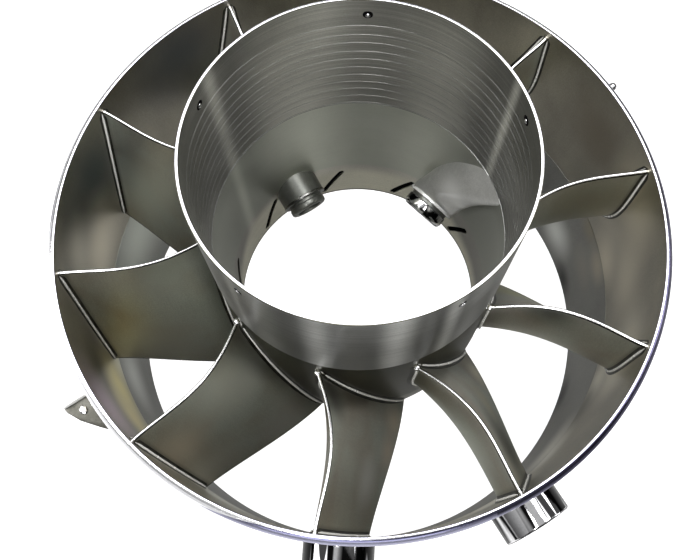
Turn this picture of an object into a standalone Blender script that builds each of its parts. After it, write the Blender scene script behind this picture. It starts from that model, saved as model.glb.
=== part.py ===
"""Guide vane casing of an axial compressor: a round shell, ten curved vanes and a tubular hub.

Units are metres, +Z is up along the flow axis, and the casing stands on the bottom edge of its tail band.
"""

import math

import bmesh
import bpy
import numpy as np
from mathutils import Matrix, Vector

# Driving dimensions
BORE = 0.200             # inner radius of the casing at its rim: the unit that the shape is drawn in
CASING_HEIGHT = 0.224    # from the bottom edge to the rim
TAIL_HEIGHT = 0.104      # lower band of the casing, below the vanes
BOTTOM_BORE = 0.1928     # inner radius at the bottom edge
WALL = 0.0032            # casing plate
LIP_RADIUS = 0.2052      # outer radius of the rim ring
LIP_HEIGHT = 0.0052
GAP = 0.0003             # between pieces that touch
SEAT = 0.0005            # between a vane's ends and the faceted round walls

HUB_TOP = 0.3163
HUB_RADIUS = 0.1016
HUB_BORE = 0.0995
HUB_BAND_FOOT = 0.2195   # lower edge of the turned front ring
HUB_TAIL_TOP = 0.1130
HUB_FOOT = 0.0738
BODY_RADIUS = 0.1012
BODY_BORE = 0.0985
TAIL_BORE = 0.0950

VANE_COUNT = 10
VANE_EDGE = 0.0014       # thickness along the leading and trailing edges
VANE_SWELL = (0.243, 0.012, -0.098)   # how far the rounded side bulges, as a turn: hub, casing, mid-span
SWELL_POWERS = (1.81, 1.41)           # towards the leading and the trailing edge
FIRST_VANE = math.radians(119.2)   # outer end of the first vane's leading edge
PITCH = 2 * math.pi / VANE_COUNT
CHORD_STEPS = 12
SPAN_STEPS = 8

# The vane's leading and trailing edges, at the hub and at the casing: heights and turns from the first point
EDGE_HEIGHTS = {"hub": (0.2036, 0.0932), "casing": (0.2186, 0.1160)}
HUB_TURN = (-0.137, 0.565, 0.059)   # start, slope and cubic term of the turn along the hub
CASING_TURN = 0.165                 # turn of the trailing edge at the casing
ROUNDED_TURN_POWER = 6.0            # there the rounded side leaves the rim straight down, then swings round
HOLLOW_TURN_POWER = 1.1             # and the hollow side runs almost straight across to the trailing edge
BOW = (0.339, -0.184)               # sideways bow of the leading and the trailing edge
BOW_SKEW = 0.194
LIFT = (0.0097, 0.0063)             # upward bow of the same edges

PIN_COUNT = 5
FIRST_PIN = math.radians(87.2)
PIN_HEIGHT = 0.3030
PIN_HOLE = 0.0026
SOCKET_ANGLES = (math.radians(46), math.radians(122))
SOCKET_HEIGHTS = (0.1180, 0.0980)
SOCKET_TILTS = (math.radians(21), math.radians(15))
SOCKET_RADII = (0.0205, 0.0185)
SOCKET_NOSE_RADIUS = 0.0150
SOCKET_BORE = 0.0105
SOCKET_REACH = 0.0760    # distance of the open end from the axis
HOOD_ANGLE = math.radians(42)   # middle of the drawn hood's outline on the wall
HOOD_HEIGHT = 0.1370
HOOD_SIZE = (0.0210, 0.0490)    # half its width and half its length
HOOD_LEAN = math.radians(13)
SLOT_WIDTH = 0.0028

BOSS_ANGLES = (math.radians(-58.1), math.radians(-92.9))
BOSS_HEIGHT = 0.1640
BOSS_RADIUS = 0.0232
BOSS_BORE = 0.0185
BOSS_REACH = 0.2230

LUG_ANGLE = math.radians(213.2)
LUG_TURN = math.radians(12)      # the lug plate stands this far off the radial line
LUG_PLATE = 0.0050
LUG_REACH = 0.0190
LUG_TOP = 0.2060
LUG_DEPTH = 0.0400
GUSSET = 0.0030
STUB_ANGLE = math.radians(31.2)
STUB_HEIGHT = 0.2110
STUB_RADIUS = 0.0030
STUB_REACH = 0.2150

ROUND = 96               # facets round the casing
HUB_ROUND = 72
BOSS_ROUND = 32

# The origin is under the middle of the whole outline, so the longest boss pushes the flow axis off it
BOSS_SWING = abs(BOSS_ANGLES[1]) - math.pi / 2
FRONT_REACH = BOSS_REACH * math.cos(BOSS_SWING) + BOSS_RADIUS * math.sin(BOSS_SWING)
AXIS = Vector((0, (FRONT_REACH - LIP_RADIUS) / 2, 0))

FINISHES = {
    "dark_steel": ((0.085, 0.085, 0.075), 0.38, 1.0),
    "tan_steel": ((0.22, 0.20, 0.165), 0.40, 1.0),
    "brushed_steel": ((0.33, 0.33, 0.32), 0.34, 1.0),
    "bright_steel": ((0.80, 0.80, 0.81), 0.16, 1.0),
    "polished": ((0.86, 0.86, 0.88), 0.05, 1.0),
    "socket_steel": ((0.20, 0.20, 0.185), 0.32, 1.0),
}


def clear_scene():
    for obj in list(bpy.data.objects):
        bpy.data.objects.remove(obj, do_unlink=True)


def finish(name):
    if name in bpy.data.materials:
        return bpy.data.materials[name]
    color, roughness, metallic = FINISHES[name]
    material = bpy.data.materials.new(name)
    material.use_nodes = True
    shader = material.node_tree.nodes["Principled BSDF"]
    shader.inputs["Base Color"].default_value = (*color, 1)
    shader.inputs["Roughness"].default_value = roughness
    shader.inputs["Metallic"].default_value = metallic
    return material


def add_object(name, mesh_data, material, matrix=None):
    """Puts the mesh in the scene at the flow axis, turned by the matrix."""
    obj = bpy.data.objects.new(name, mesh_data)
    bpy.context.scene.collection.objects.link(obj)
    obj.matrix_world = Matrix.Translation(AXIS) @ (matrix or Matrix.Identity(4))
    if material:
        obj.data.materials.append(finish(material))
    return obj


def mesh_from(name, points, faces):
    mesh = bpy.data.meshes.new(name)
    mesh.from_pydata([tuple(point) for point in points], [], faces)
    tidy = bmesh.new()
    tidy.from_mesh(mesh)
    bmesh.ops.remove_doubles(tidy, verts=tidy.verts, dist=1e-7)
    bmesh.ops.recalc_face_normals(tidy, faces=tidy.faces)
    tidy.to_mesh(mesh)
    tidy.free()
    mesh.shade_smooth()
    mesh.set_sharp_from_angle(angle=math.radians(40))
    return mesh


def turned(name, profile, steps=ROUND):
    """A closed outline of (radius, height) points, turned once round the Z axis."""
    points = []
    for step in range(steps):
        angle = 2 * math.pi * step / steps
        points += [(r * math.cos(angle), r * math.sin(angle), z) for r, z in profile]
    count = len(profile)
    faces = []
    for step in range(steps):
        here, there = step * count, (step + 1) % steps * count
        for i in range(count):
            j = (i + 1) % count
            faces.append((here + i, here + j, there + j, there + i))
    return mesh_from(name, points, faces)


def plug(name, profile, steps):
    """A solid of (radius, height) points from axis to axis, turned round Z; its ends are closed."""
    points = [(0, 0, profile[0][1])]
    for step in range(steps):
        angle = 2 * math.pi * step / steps
        points += [(r * math.cos(angle), r * math.sin(angle), z) for r, z in profile]
    points.append((0, 0, profile[-1][1]))
    count, last = len(profile), len(points) - 1
    faces = []
    for step in range(steps):
        here, there = 1 + step * count, 1 + (step + 1) % steps * count
        faces.append((0, here, there))
        faces.append((last, there + count - 1, here + count - 1))
        faces += [(here + i, here + i + 1, there + i + 1, there + i) for i in range(count - 1)]
    return mesh_from(name, points, faces)


def block(name, size, middle):
    corners = [(x, y, z) for x in (-1, 1) for y in (-1, 1) for z in (-1, 1)]
    points = [tuple(m + s / 2 * c for m, s, c in zip(middle, size, corner)) for corner in corners]
    faces = [(0, 1, 3, 2), (4, 6, 7, 5), (0, 4, 5, 1), (2, 3, 7, 6), (0, 2, 6, 4), (1, 5, 7, 3)]
    return mesh_from(name, points, faces)


def cutter(name, mesh, matrix=None):
    obj = add_object(name, mesh, None, matrix)
    obj.hide_render = True
    obj.display_type = "WIRE"
    return obj


def combine(obj, other, operation):
    """Cuts, keeps or joins with the other object."""
    step = obj.modifiers.new(operation.lower(), "BOOLEAN")
    step.operation = operation
    step.solver = "EXACT"
    step.object = other
    return obj


def turn(angle):
    return Matrix.Rotation(angle, 4, "Z")


def outward(angle, height, radius=0.0, tilt=0.0):
    """Local +Z points away from the flow axis at this angle, from a point at the radius and height."""
    place = Matrix.Translation((radius, 0, height))
    lean = Matrix.Rotation(math.pi / 2 + tilt, 4, "Y")
    return turn(angle) @ place @ lean


def casing_bore(height):
    """Inner radius of the casing, which narrows evenly from rim to bottom edge."""
    return BOTTOM_BORE + (BORE - BOTTOM_BORE) * height / CASING_HEIGHT


def hub_tail_bore(height, extra=0.0):
    """Inner radius of the hub's tail, which curls in towards the foot."""
    down = min(max((HUB_TAIL_TOP - height) / (HUB_TAIL_TOP - HUB_FOOT), 0), 1)
    return BODY_BORE - (BODY_BORE - TAIL_BORE) * down ** 2 + extra


def make_casing():
    edge = LIP_HEIGHT / 4
    rim = [
        (BORE, CASING_HEIGHT),
        (BORE, CASING_HEIGHT - LIP_HEIGHT),
        (LIP_RADIUS - edge, CASING_HEIGHT - LIP_HEIGHT),
        (LIP_RADIUS, CASING_HEIGHT - LIP_HEIGHT + edge),
        (LIP_RADIUS, CASING_HEIGHT - 2 * edge),
        (LIP_RADIUS - edge, CASING_HEIGHT),
    ]
    add_object("casing_rim_ring", turned("casing_rim_ring", rim), "bright_steel")
    top = CASING_HEIGHT - LIP_HEIGHT - GAP
    barrel = [
        (casing_bore(top), top),
        (casing_bore(TAIL_HEIGHT), TAIL_HEIGHT),
        (casing_bore(TAIL_HEIGHT) + WALL, TAIL_HEIGHT),
        (casing_bore(top) + WALL, top),
    ]
    add_object("casing_barrel", turned("casing_barrel", barrel), "tan_steel")
    top = TAIL_HEIGHT - GAP
    tail = [
        (casing_bore(top), top),
        (casing_bore(0), 0),
        (casing_bore(0) + WALL, 0),
        (casing_bore(top) + WALL, top),
    ]
    add_object("casing_tail_band", turned("casing_tail_band", tail), "brushed_steel")


def hub_outside(height):
    """Outer radius of the hub where the vanes are welded on."""
    if height > HUB_TAIL_TOP:
        return BODY_RADIUS
    return hub_tail_bore(height, BODY_RADIUS - BODY_BORE)


def on_wall(point, across):
    """Brings an end point of a vane onto the round wall that it is welded to."""
    if 0 < across < 1:
        return point
    radius = casing_bore(point[2]) - SEAT if across else hub_outside(point[2]) + SEAT
    return np.array((*(point[:2] * radius / np.hypot(*point[:2])), point[2]))


def bulge(along, across):
    """Turn of the rounded side away from the straight chord, none at either edge."""
    front, back = SWELL_POWERS
    crest = front / (front + back)
    along = min(max(along, 0), 1)
    shape = (along / crest) ** front * ((1 - along) / (1 - crest)) ** back
    hub, casing, middle = VANE_SWELL
    return shape * (hub * (1 - across) + casing * across + middle * across * (1 - across))


def vane_point(along, across, rounded=0):
    """A point of the vane: along runs from leading to trailing edge, across from hub to casing."""
    start, slope, cubic = HUB_TURN
    hub_turn = start + slope * along + cubic * along ** 3
    power = ROUNDED_TURN_POWER if rounded else HOLLOW_TURN_POWER
    casing_turn = CASING_TURN * max(along, 0) ** power
    arch = across * (1 - across)
    bow = BOW[0] * (1 - along) + BOW[1] * along + BOW_SKEW * (1 - along) * (1 - 2 * across)
    angle = hub_turn + (casing_turn - hub_turn) * across + bow * arch - rounded * bulge(along, across)
    hub_height, casing_height = (
        high + (low - high) * along for high, low in (EDGE_HEIGHTS["hub"], EDGE_HEIGHTS["casing"])
    )
    lift = LIFT[0] * (1 - along) + LIFT[1] * along
    height = hub_height + (casing_height - hub_height) * across + lift * arch
    inner = hub_outside(height) + SEAT
    outer = casing_bore(height) - SEAT
    radius = inner + (outer - inner) * across
    return np.array((radius * math.cos(angle), radius * math.sin(angle), height))


def vane_mesh():
    """A hollow side and a rounded side that meet in thin edges, with a cap at either end."""
    rows, columns = SPAN_STEPS + 1, CHORD_STEPS + 1
    points = []
    small = 1e-4
    for rounded in (1, 0):
        for i in range(rows):
            for j in range(columns):
                across, along = i / SPAN_STEPS, j / CHORD_STEPS
                chordwise = vane_point(along + small, across) - vane_point(along - small, across)
                spanwise = vane_point(along, across + small) - vane_point(along, across - small)
                normal = np.cross(spanwise, chordwise)
                offset = (0.5 - rounded) * VANE_EDGE * normal / np.linalg.norm(normal)
                points.append(on_wall(vane_point(along, across, rounded) + offset, across))
    layer = rows * columns
    faces = []
    for i in range(SPAN_STEPS):
        for j in range(CHORD_STEPS):
            a = i * columns + j
            ring = (a, a + 1, a + columns + 1, a + columns)
            faces.append(ring)
            faces.append(tuple(layer + n for n in reversed(ring)))
        for a in (i * columns, i * columns + columns - 1):
            faces.append((a, a + columns, layer + a + columns, layer + a))
    for across in (0, 1):
        first = across * (rows - 1) * columns
        middle = len(points) - 1
        for j in range(1, columns - 1):
            point = (points[first + j] + points[layer + first + j]) / 2
            points.append(on_wall(point, across))
        last = first + columns - 1
        faces.append((first, first + 1, middle + 1))
        faces.append((layer + first, middle + 1, layer + first + 1))
        faces.append((first, middle + 1, layer + first))
        for j in range(1, columns - 2):
            faces.append((first + j, first + j + 1, middle + j + 1, middle + j))
            faces.append((layer + first + j, middle + j, middle + j + 1, layer + first + j + 1))
        end = middle + columns - 2
        faces.append((last - 1, last, end))
        faces.append((layer + last, layer + last - 1, end))
        faces.append((last, layer + last, end))
    return mesh_from("guide_vane", points, faces)


def make_vanes():
    mesh = vane_mesh()
    for number in range(VANE_COUNT):
        angle = FIRST_VANE + number * PITCH
        add_object(f"vane_{number + 1:02d}", mesh, None if number else "dark_steel", turn(angle))


def make_hub():
    ring = [
        (HUB_BORE, HUB_TOP),
        (HUB_BORE, HUB_BAND_FOOT),
        (HUB_RADIUS, HUB_BAND_FOOT),
        (HUB_RADIUS, HUB_TOP),
    ]
    front = add_object("hub_front_ring", turned("hub_front_ring", ring, HUB_ROUND), "brushed_steel")
    drill = plug("pin_hole_cutter", [(PIN_HOLE, -0.010), (PIN_HOLE, 0.010)], 16)
    for number in range(PIN_COUNT):
        place = outward(FIRST_PIN + number * 2 * math.pi / PIN_COUNT, PIN_HEIGHT, HUB_BORE)
        combine(front, cutter(f"pin_hole_cutter_{number + 1}", drill, place), "DIFFERENCE")
    body_top = HUB_BAND_FOOT - GAP
    body = [
        (BODY_BORE, body_top),
        (BODY_BORE, HUB_TAIL_TOP),
        (BODY_RADIUS, HUB_TAIL_TOP),
        (BODY_RADIUS, body_top),
    ]
    add_object("hub_body", turned("hub_body", body, HUB_ROUND), "dark_steel")
    steps = 5
    tail_top = HUB_TAIL_TOP - GAP
    heights = [tail_top + (HUB_FOOT - tail_top) * i / steps for i in range(steps + 1)]
    wall = BODY_RADIUS - BODY_BORE
    inside = [(hub_tail_bore(z), z) for z in heights]
    outside = [(hub_tail_bore(z, wall), z) for z in reversed(heights)]
    tail = add_object("hub_tail", turned("hub_tail", inside + outside, HUB_ROUND), "tan_steel")
    for number in range(VANE_COUNT):
        combine(tail, slot_cutter(number), "DIFFERENCE")


def slot_cutter(number):
    """A slanting slot under a vane's root: its upper end lies 15 degrees round from it, its lower 25."""
    high, low = HUB_TAIL_TOP - 0.009, HUB_FOOT + 0.006
    start, end = math.radians(14), math.radians(23)
    across = (end - start) * BODY_BORE
    length = math.hypot(across, high - low)
    slab = block("slot_cutter", (0.020, SLOT_WIDTH, length), (0, 0, 0))
    lean = Matrix.Rotation(-math.atan2(-across, high - low), 4, "X")
    angle = FIRST_VANE + number * PITCH + (start + end) / 2
    place = turn(angle) @ Matrix.Translation((BODY_BORE, 0, (high + low) / 2)) @ lean
    return cutter(f"slot_cutter_{number + 1}", slab, place)


def make_pins():
    wall = HUB_RADIUS - HUB_BORE
    pin = plug(
        "hub_pin",
        [
            (PIN_HOLE * 0.45, -0.0013),
            (PIN_HOLE - GAP, -0.0004),
            (PIN_HOLE - GAP, wall + 0.0002),
            (PIN_HOLE * 0.6, wall + 0.0007),
        ],
        16,
    )
    for number in range(PIN_COUNT):
        place = outward(FIRST_PIN + number * 2 * math.pi / PIN_COUNT, PIN_HEIGHT, HUB_BORE)
        add_object(f"hub_pin_{number + 1}", pin, None if number else "polished", place)


def hub_core():
    """What is free inside the hub: sockets are trimmed to it so that they follow the wall."""
    steps = 5
    heights = [HUB_FOOT + (HUB_TAIL_TOP - HUB_FOOT) * i / steps for i in range(steps + 1)]
    seat = SEAT + GAP
    wall = [(hub_tail_bore(z) - seat, z) for z in heights]
    profile = [(wall[0][0], -0.02), *wall, (BODY_BORE - seat, HUB_TOP)]
    return plug("hub_core", profile, HUB_ROUND)


def make_sockets():
    """Two stub sockets that stand in from the hub wall; a drawn hood leads over the first."""
    core = cutter("hub_core", hub_core())
    step = 0.008
    lip = 0.0012
    drill = plug("socket_drill", [(SOCKET_BORE, -0.005), (SOCKET_BORE, 0.014)], 24)
    places = zip(SOCKET_ANGLES, SOCKET_HEIGHTS, SOCKET_TILTS, SOCKET_RADII)
    for number, (angle, height, tilt, radius) in enumerate(places):
        shell = [
            (SOCKET_NOSE_RADIUS - lip, 0.0),
            (SOCKET_NOSE_RADIUS, lip),
            (SOCKET_NOSE_RADIUS, step),
            (radius - lip, step),
            (radius, step + lip),
            (radius, HUB_RADIUS - SOCKET_REACH + 0.014),
        ]
        place = outward(angle, height, SOCKET_REACH, -tilt)
        name = f"hub_socket_{number + 1}"
        socket = add_object(name, plug(name, shell, BOSS_ROUND), "socket_steel", place)
        if number == 0:
            combine(socket, cutter("hood_former", hood_mesh(place, radius, step)), "UNION")
        combine(socket, core, "INTERSECT")
        combine(socket, cutter(f"socket_drill_{number + 1}", drill, place), "DIFFERENCE")


def hood_mesh(place, radius, step):
    """The skin stretched from the socket's shoulder to a leaning oval on the hub wall."""
    corners = []
    for i in range(BOSS_ROUND):
        angle = 2 * math.pi * i / BOSS_ROUND
        shoulder = radius - 0.0006
        near = (shoulder * math.cos(angle), shoulder * math.sin(angle), step + 0.002)
        corners.append(place @ Vector(near))
        across = HOOD_SIZE[0] * math.cos(angle)
        up = HOOD_SIZE[1] * math.sin(angle)
        side = across * math.cos(HOOD_LEAN) - up * math.sin(HOOD_LEAN)
        rise = across * math.sin(HOOD_LEAN) + up * math.cos(HOOD_LEAN)
        turned_by = HOOD_ANGLE + side / BODY_BORE
        wall = (BODY_RADIUS * math.cos(turned_by), BODY_RADIUS * math.sin(turned_by), HOOD_HEIGHT + rise)
        corners.append(Vector(wall))
    hull = bmesh.new()
    for corner in corners:
        hull.verts.new(corner)
    bmesh.ops.convex_hull(hull, input=hull.verts)
    loose = [vert for vert in hull.verts if not vert.link_faces]
    bmesh.ops.delete(hull, geom=loose, context="VERTS")
    mesh = bpy.data.meshes.new("hood_former")
    hull.to_mesh(mesh)
    hull.free()
    return mesh


def casing_envelope(name):
    """Everything inside the casing's outer face, with the gap that a fitted piece keeps."""
    ends = (-0.010, CASING_HEIGHT + 0.010)
    return plug(name, [(casing_bore(z) + WALL + GAP, z) for z in ends], ROUND)


def make_bosses():
    edge = 0.0012
    inner = 0.190
    boss = [
        (BOSS_BORE, inner),
        (BOSS_BORE, BOSS_REACH),
        (BOSS_RADIUS - edge, BOSS_REACH),
        (BOSS_RADIUS, BOSS_REACH - edge),
        (BOSS_RADIUS, inner),
    ]
    mesh = turned("service_boss", boss, BOSS_ROUND)
    shell = cutter("boss_envelope", casing_envelope("boss_envelope"))
    for number, angle in enumerate(BOSS_ANGLES):
        place = outward(angle, BOSS_HEIGHT)
        obj = add_object(f"service_boss_{number + 1}", mesh, None if number else "polished", place)
        combine(obj, shell, "DIFFERENCE")


def make_lug():
    """A plate that stands off the casing near its rim, with a three-sided gusset and a screw."""
    root = casing_bore(LUG_TOP) + WALL - 0.003
    place = turn(LUG_ANGLE) @ Matrix.Translation((root, 0, 0)) @ turn(LUG_TURN)
    tip = LUG_REACH + 0.003
    rounding = 0.006
    outline = [(0.0, LUG_TOP - LUG_DEPTH), (0.0, LUG_TOP)]
    for step in range(5):
        angle = math.pi / 2 * (1 - step / 4)
        reach = tip - rounding + rounding * math.cos(angle)
        outline.append((reach, LUG_TOP - rounding + rounding * math.sin(angle)))
    outline.append((tip * 0.55, LUG_TOP - LUG_DEPTH))
    plate = plate_mesh("lug_plate", [(x, -LUG_PLATE / 2, z) for x, z in outline], (0, LUG_PLATE, 0))
    shell = cutter("lug_envelope", casing_envelope("lug_envelope"))
    combine(add_object("lug_plate", plate, "bright_steel", place), shell, "DIFFERENCE")
    side = LUG_PLATE / 2 + GAP
    height = LUG_TOP - 0.004
    corners = [(0.0, side, height), (tip - 0.002, side, height), (tip - 0.0045, side + 0.004, height)]
    corners += [(0.004, side + 0.033, height), (-0.004, side + 0.033, height)]
    web = plate_mesh("lug_gusset", corners, (0, 0, -GUSSET))
    gusset = combine(add_object("lug_gusset", web, "brushed_steel", place), shell, "DIFFERENCE")
    hole, head = 0.0022, 0.0034
    spot = Matrix.Translation((0.0115, side + 0.0100, height))
    drill = plug("screw_hole_cutter", [(hole, -0.010), (hole, 0.010)], 16)
    combine(gusset, cutter("screw_hole_cutter", drill, place @ spot), "DIFFERENCE")
    profile = [
        (hole - GAP, -GUSSET - 0.001),
        (hole - GAP, GAP),
        (head, GAP),
        (head, 0.0012),
        (head * 0.6, 0.0021),
    ]
    add_object("lug_screw", plug("lug_screw", profile, 16), "polished", place @ spot)


def plate_mesh(name, outline, thickness):
    """A flat outline given its thickness."""
    count = len(outline)
    points = [Vector(point) for point in outline] + [Vector(point) + Vector(thickness) for point in outline]
    faces = [tuple(range(count)), tuple(reversed(range(count, 2 * count)))]
    faces += [(i, (i + 1) % count, count + (i + 1) % count, count + i) for i in range(count)]
    return mesh_from(name, points, faces)


def make_stub():
    seat = casing_bore(STUB_HEIGHT) + WALL + GAP
    profile = [(STUB_RADIUS, seat)]
    for angle in (1.57, 1.05, 0.52):
        drop = STUB_RADIUS * (1 - math.cos(angle))
        profile.append((STUB_RADIUS * math.sin(angle), STUB_REACH - drop))
    add_object("stub_pin", plug("stub_pin", profile, 20), "polished", outward(STUB_ANGLE, STUB_HEIGHT))


def main():
    clear_scene()
    make_casing()
    make_vanes()
    make_hub()
    make_pins()
    make_sockets()
    make_bosses()
    make_lug()
    make_stub()


main()
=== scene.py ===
import math

import bmesh
import bpy
import numpy as np
from mathutils import Matrix, Vector


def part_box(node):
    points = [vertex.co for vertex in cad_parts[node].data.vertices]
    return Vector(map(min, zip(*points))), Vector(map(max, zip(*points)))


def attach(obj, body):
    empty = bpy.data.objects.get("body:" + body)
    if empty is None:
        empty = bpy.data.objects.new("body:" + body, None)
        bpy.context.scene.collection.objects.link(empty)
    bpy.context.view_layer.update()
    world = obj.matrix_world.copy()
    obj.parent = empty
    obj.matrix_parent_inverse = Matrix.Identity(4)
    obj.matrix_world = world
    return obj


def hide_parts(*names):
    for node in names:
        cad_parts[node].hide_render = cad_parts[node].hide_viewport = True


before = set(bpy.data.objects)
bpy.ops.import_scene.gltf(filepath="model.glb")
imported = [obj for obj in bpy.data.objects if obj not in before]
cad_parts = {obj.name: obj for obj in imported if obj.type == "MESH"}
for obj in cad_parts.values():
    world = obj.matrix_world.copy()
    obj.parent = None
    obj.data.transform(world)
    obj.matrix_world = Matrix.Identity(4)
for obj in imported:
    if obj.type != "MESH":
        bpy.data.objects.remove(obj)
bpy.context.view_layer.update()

hubLow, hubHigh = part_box("hub_body")
flowAxis = Vector((0, (hubLow.y + hubHigh.y) / 2, 0))   # casing, vanes and hub all go round this line
onAxis = Matrix.Translation(flowAxis)
print("frame loaded, flow axis at y =", round(flowAxis.y, 5))


# Mesh tools

def link(obj):
    bpy.context.scene.collection.objects.link(obj)
    return obj


def meshFrom(name, points, faces, place=onAxis, sharp=40):
    mesh = bpy.data.meshes.new(name)
    mesh.from_pydata([place @ Vector(point) for point in points], [], [tuple(face) for face in faces])
    shape = bmesh.new()
    shape.from_mesh(mesh)
    bmesh.ops.remove_doubles(shape, verts=shape.verts, dist=1e-6)
    bmesh.ops.recalc_face_normals(shape, faces=shape.faces)
    shape.to_mesh(mesh)
    shape.free()
    mesh.shade_smooth()
    mesh.set_sharp_from_angle(angle=math.radians(sharp))
    return mesh


def softened(outline, radii, steps=4):
    # each corner that has a radius becomes a small curve
    result = []
    count = len(outline)
    for i, radius in enumerate(radii):
        corner = np.array(outline[i], float)
        if not radius:
            result.append(tuple(corner))
            continue
        before = np.array(outline[i - 1]) - corner
        after = np.array(outline[(i + 1) % count]) - corner
        start = corner + before * min(radius / np.linalg.norm(before), 0.49)
        end = corner + after * min(radius / np.linalg.norm(after), 0.49)
        for s in np.linspace(0, 1, steps + 1):
            result.append(tuple((1 - s) ** 2 * start + 2 * s * (1 - s) * corner + s * s * end))
    return result


def tubeFaces(rows, columns, closed=True):
    # quads over a grid whose columns run round; closed joins the last row to the first as well
    here = np.arange(rows * columns).reshape(rows, columns)
    up = np.roll(here, -1, 1)
    quads = np.stack([here, up, np.roll(up, -1, 0), np.roll(here, -1, 0)], -1)
    return (quads if closed else quads[:-1]).reshape(-1, 4).tolist()


def cappedTube(rows, columns):
    # an open tube of such quads with a face at each end
    ends = [tuple(range(columns)), tuple(range(rows * columns - 1, (rows - 1) * columns - 1, -1))]
    return tubeFaces(rows, columns, closed=False) + ends


def polar(radius, angle, height):
    return np.stack(np.broadcast_arrays(radius * np.cos(angle), radius * np.sin(angle), height), -1)


def turnedPoints(outline, steps):
    # a closed outline of (radius, height), turned once round local Z
    outline = np.array(outline, float)
    turns = np.arange(steps)[:, None] * 2 * math.pi / steps
    return polar(outline[:, 0], turns, outline[:, 1]).reshape(-1, 3)


def circle(radius, count, height=0.0):
    return turnedPoints([(radius, height)], count)


def band(inner, outer, low, high):
    # the outline of a plain ring, as (radius, height)
    return [(inner, low), (outer, low), (outer, high), (inner, high)]


def rectangle(x, y, z):
    return [(-x, -y, z), (x, -y, z), (x, y, z), (-x, y, z)]


def placed(place, points):
    return [np.array(place @ Vector(point)) for point in points]


def zAxis(place):
    return np.array(place.to_3x3() @ Vector((0, 0, 1)))


def blend(pair, share):
    return pair[0] + (pair[1] - pair[0]) * share


def fromAxis(points):
    return np.hypot(points[:, 0], points[:, 1])


def unit(vectors):
    return vectors / np.linalg.norm(vectors, axis=-1, keepdims=True)


def lathe(name, outline, steps=288, place=onAxis, sharp=40):
    return meshFrom(name, turnedPoints(outline, steps), tubeFaces(steps, len(outline)), place, sharp)


def plainMesh(obj):
    # what the modifiers make of an object, as a mesh of its own; the object goes
    graph = bpy.context.evaluated_depsgraph_get()
    graph.update()
    made = obj.evaluated_get(graph)
    mesh = bpy.data.meshes.new_from_object(made, preserve_all_data_layers=True, depsgraph=graph)
    bpy.data.objects.remove(obj, do_unlink=True)
    return mesh


def cutAway(mesh, tool):
    work = link(bpy.data.objects.new("work", mesh))
    cutter = link(bpy.data.objects.new("cutter", tool))
    step = work.modifiers.new("cut", "BOOLEAN")
    step.operation = "DIFFERENCE"
    step.solver = "EXACT"
    step.object = cutter
    result = plainMesh(work)
    bpy.data.objects.remove(cutter, do_unlink=True)
    result.set_sharp_from_angle(angle=math.radians(40))
    return result


def addPiece(name, mesh, materials, nodes=(), pick=None):
    # pick takes the middles of the faces and gives each the number of its material
    mesh.name = name
    obj = link(bpy.data.objects.new(name, mesh))
    if materials:
        mesh.materials.clear()
        for material in materials:
            mesh.materials.append(material)
    if pick:
        middles = np.empty(len(mesh.polygons) * 3)
        mesh.polygons.foreach_get("center", middles)
        chosen = pick(middles.reshape(-1, 3) - np.array(flowAxis)).astype(np.int32)
        mesh.polygons.foreach_set("material_index", chosen)
    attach(obj, "root")
    if nodes:
        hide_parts(*nodes)
    return obj


def outward(angle, height, radius=0.0, tilt=0.0):
    # local +Z points away from the flow axis
    place = Matrix.Translation((radius, 0, height)) @ Matrix.Rotation(math.pi / 2 + tilt, 4, "Y")
    return Matrix.Rotation(angle, 4, "Z") @ place


def toWall(point, direction, wallAt, far=0.0):
    # on along the direction until the point lies on a round wall whose radius depends on the height
    for _ in range(6):
        wall = wallAt(point[2] + far * direction[2])
        a = direction[0] ** 2 + direction[1] ** 2
        b = 2 * (point[0] * direction[0] + point[1] * direction[1])
        c = point[0] ** 2 + point[1] ** 2 - wall ** 2
        far = (-b + math.sqrt(b * b - 4 * a * c)) / (2 * a)
    return point + direction * far


# Node tools, for materials and for geometry

def node(tree, kind, inputs=None, **settings):
    made = tree.nodes.new(kind)
    for key, value in settings.items():
        setattr(made, key, value)
    for key, value in (inputs or {}).items():
        socket = made.inputs[key]
        if isinstance(value, bpy.types.NodeSocket):
            tree.links.new(value, socket)
        else:
            socket.default_value = value
    return made


def enabled(plugs, name):
    # of the plugs that share a name, the one for the chosen kind of data
    return next(plug for plug in plugs if plug.name == name and plug.enabled)


def maths(tree, operation, a, b=0.0, c=0.0):
    return node(tree, "ShaderNodeMath", {0: a, 1: b, 2: c}, operation=operation).outputs[0]


def mixed(tree, share, a, b, mode="MIX"):
    return node(tree, "ShaderNodeMix", {0: share, 6: a, 7: b}, data_type="RGBA", blend_type=mode).outputs[2]


def ranged(tree, value, low, high, newLow=0.0, newHigh=1.0, soft=False):
    inputs = {"Value": value, "From Min": low, "From Max": high, "To Min": newLow, "To Max": newHigh}
    kind = "SMOOTHSTEP" if soft else "LINEAR"
    return node(tree, "ShaderNodeMapRange", inputs, interpolation_type=kind).outputs[0]


def noise(tree, vector, scale, detail=2.0, roughness=0.5, distortion=0.0):
    inputs = {"Vector": vector, "Scale": scale, "Detail": detail, "Roughness": roughness, "Distortion": distortion}
    return node(tree, "ShaderNodeTexNoise", inputs).outputs[0]


def mapping(tree, vector, scale=(1, 1, 1), location=(0, 0, 0)):
    return node(tree, "ShaderNodeMapping", {"Vector": vector, "Scale": scale, "Location": location}).outputs[0]


def separate(tree, vector):
    return node(tree, "ShaderNodeSeparateXYZ", {0: vector}).outputs


def combine(tree, x=0.0, y=0.0, z=0.0):
    return node(tree, "ShaderNodeCombineXYZ", {"X": x, "Y": y, "Z": z}).outputs[0]


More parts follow.
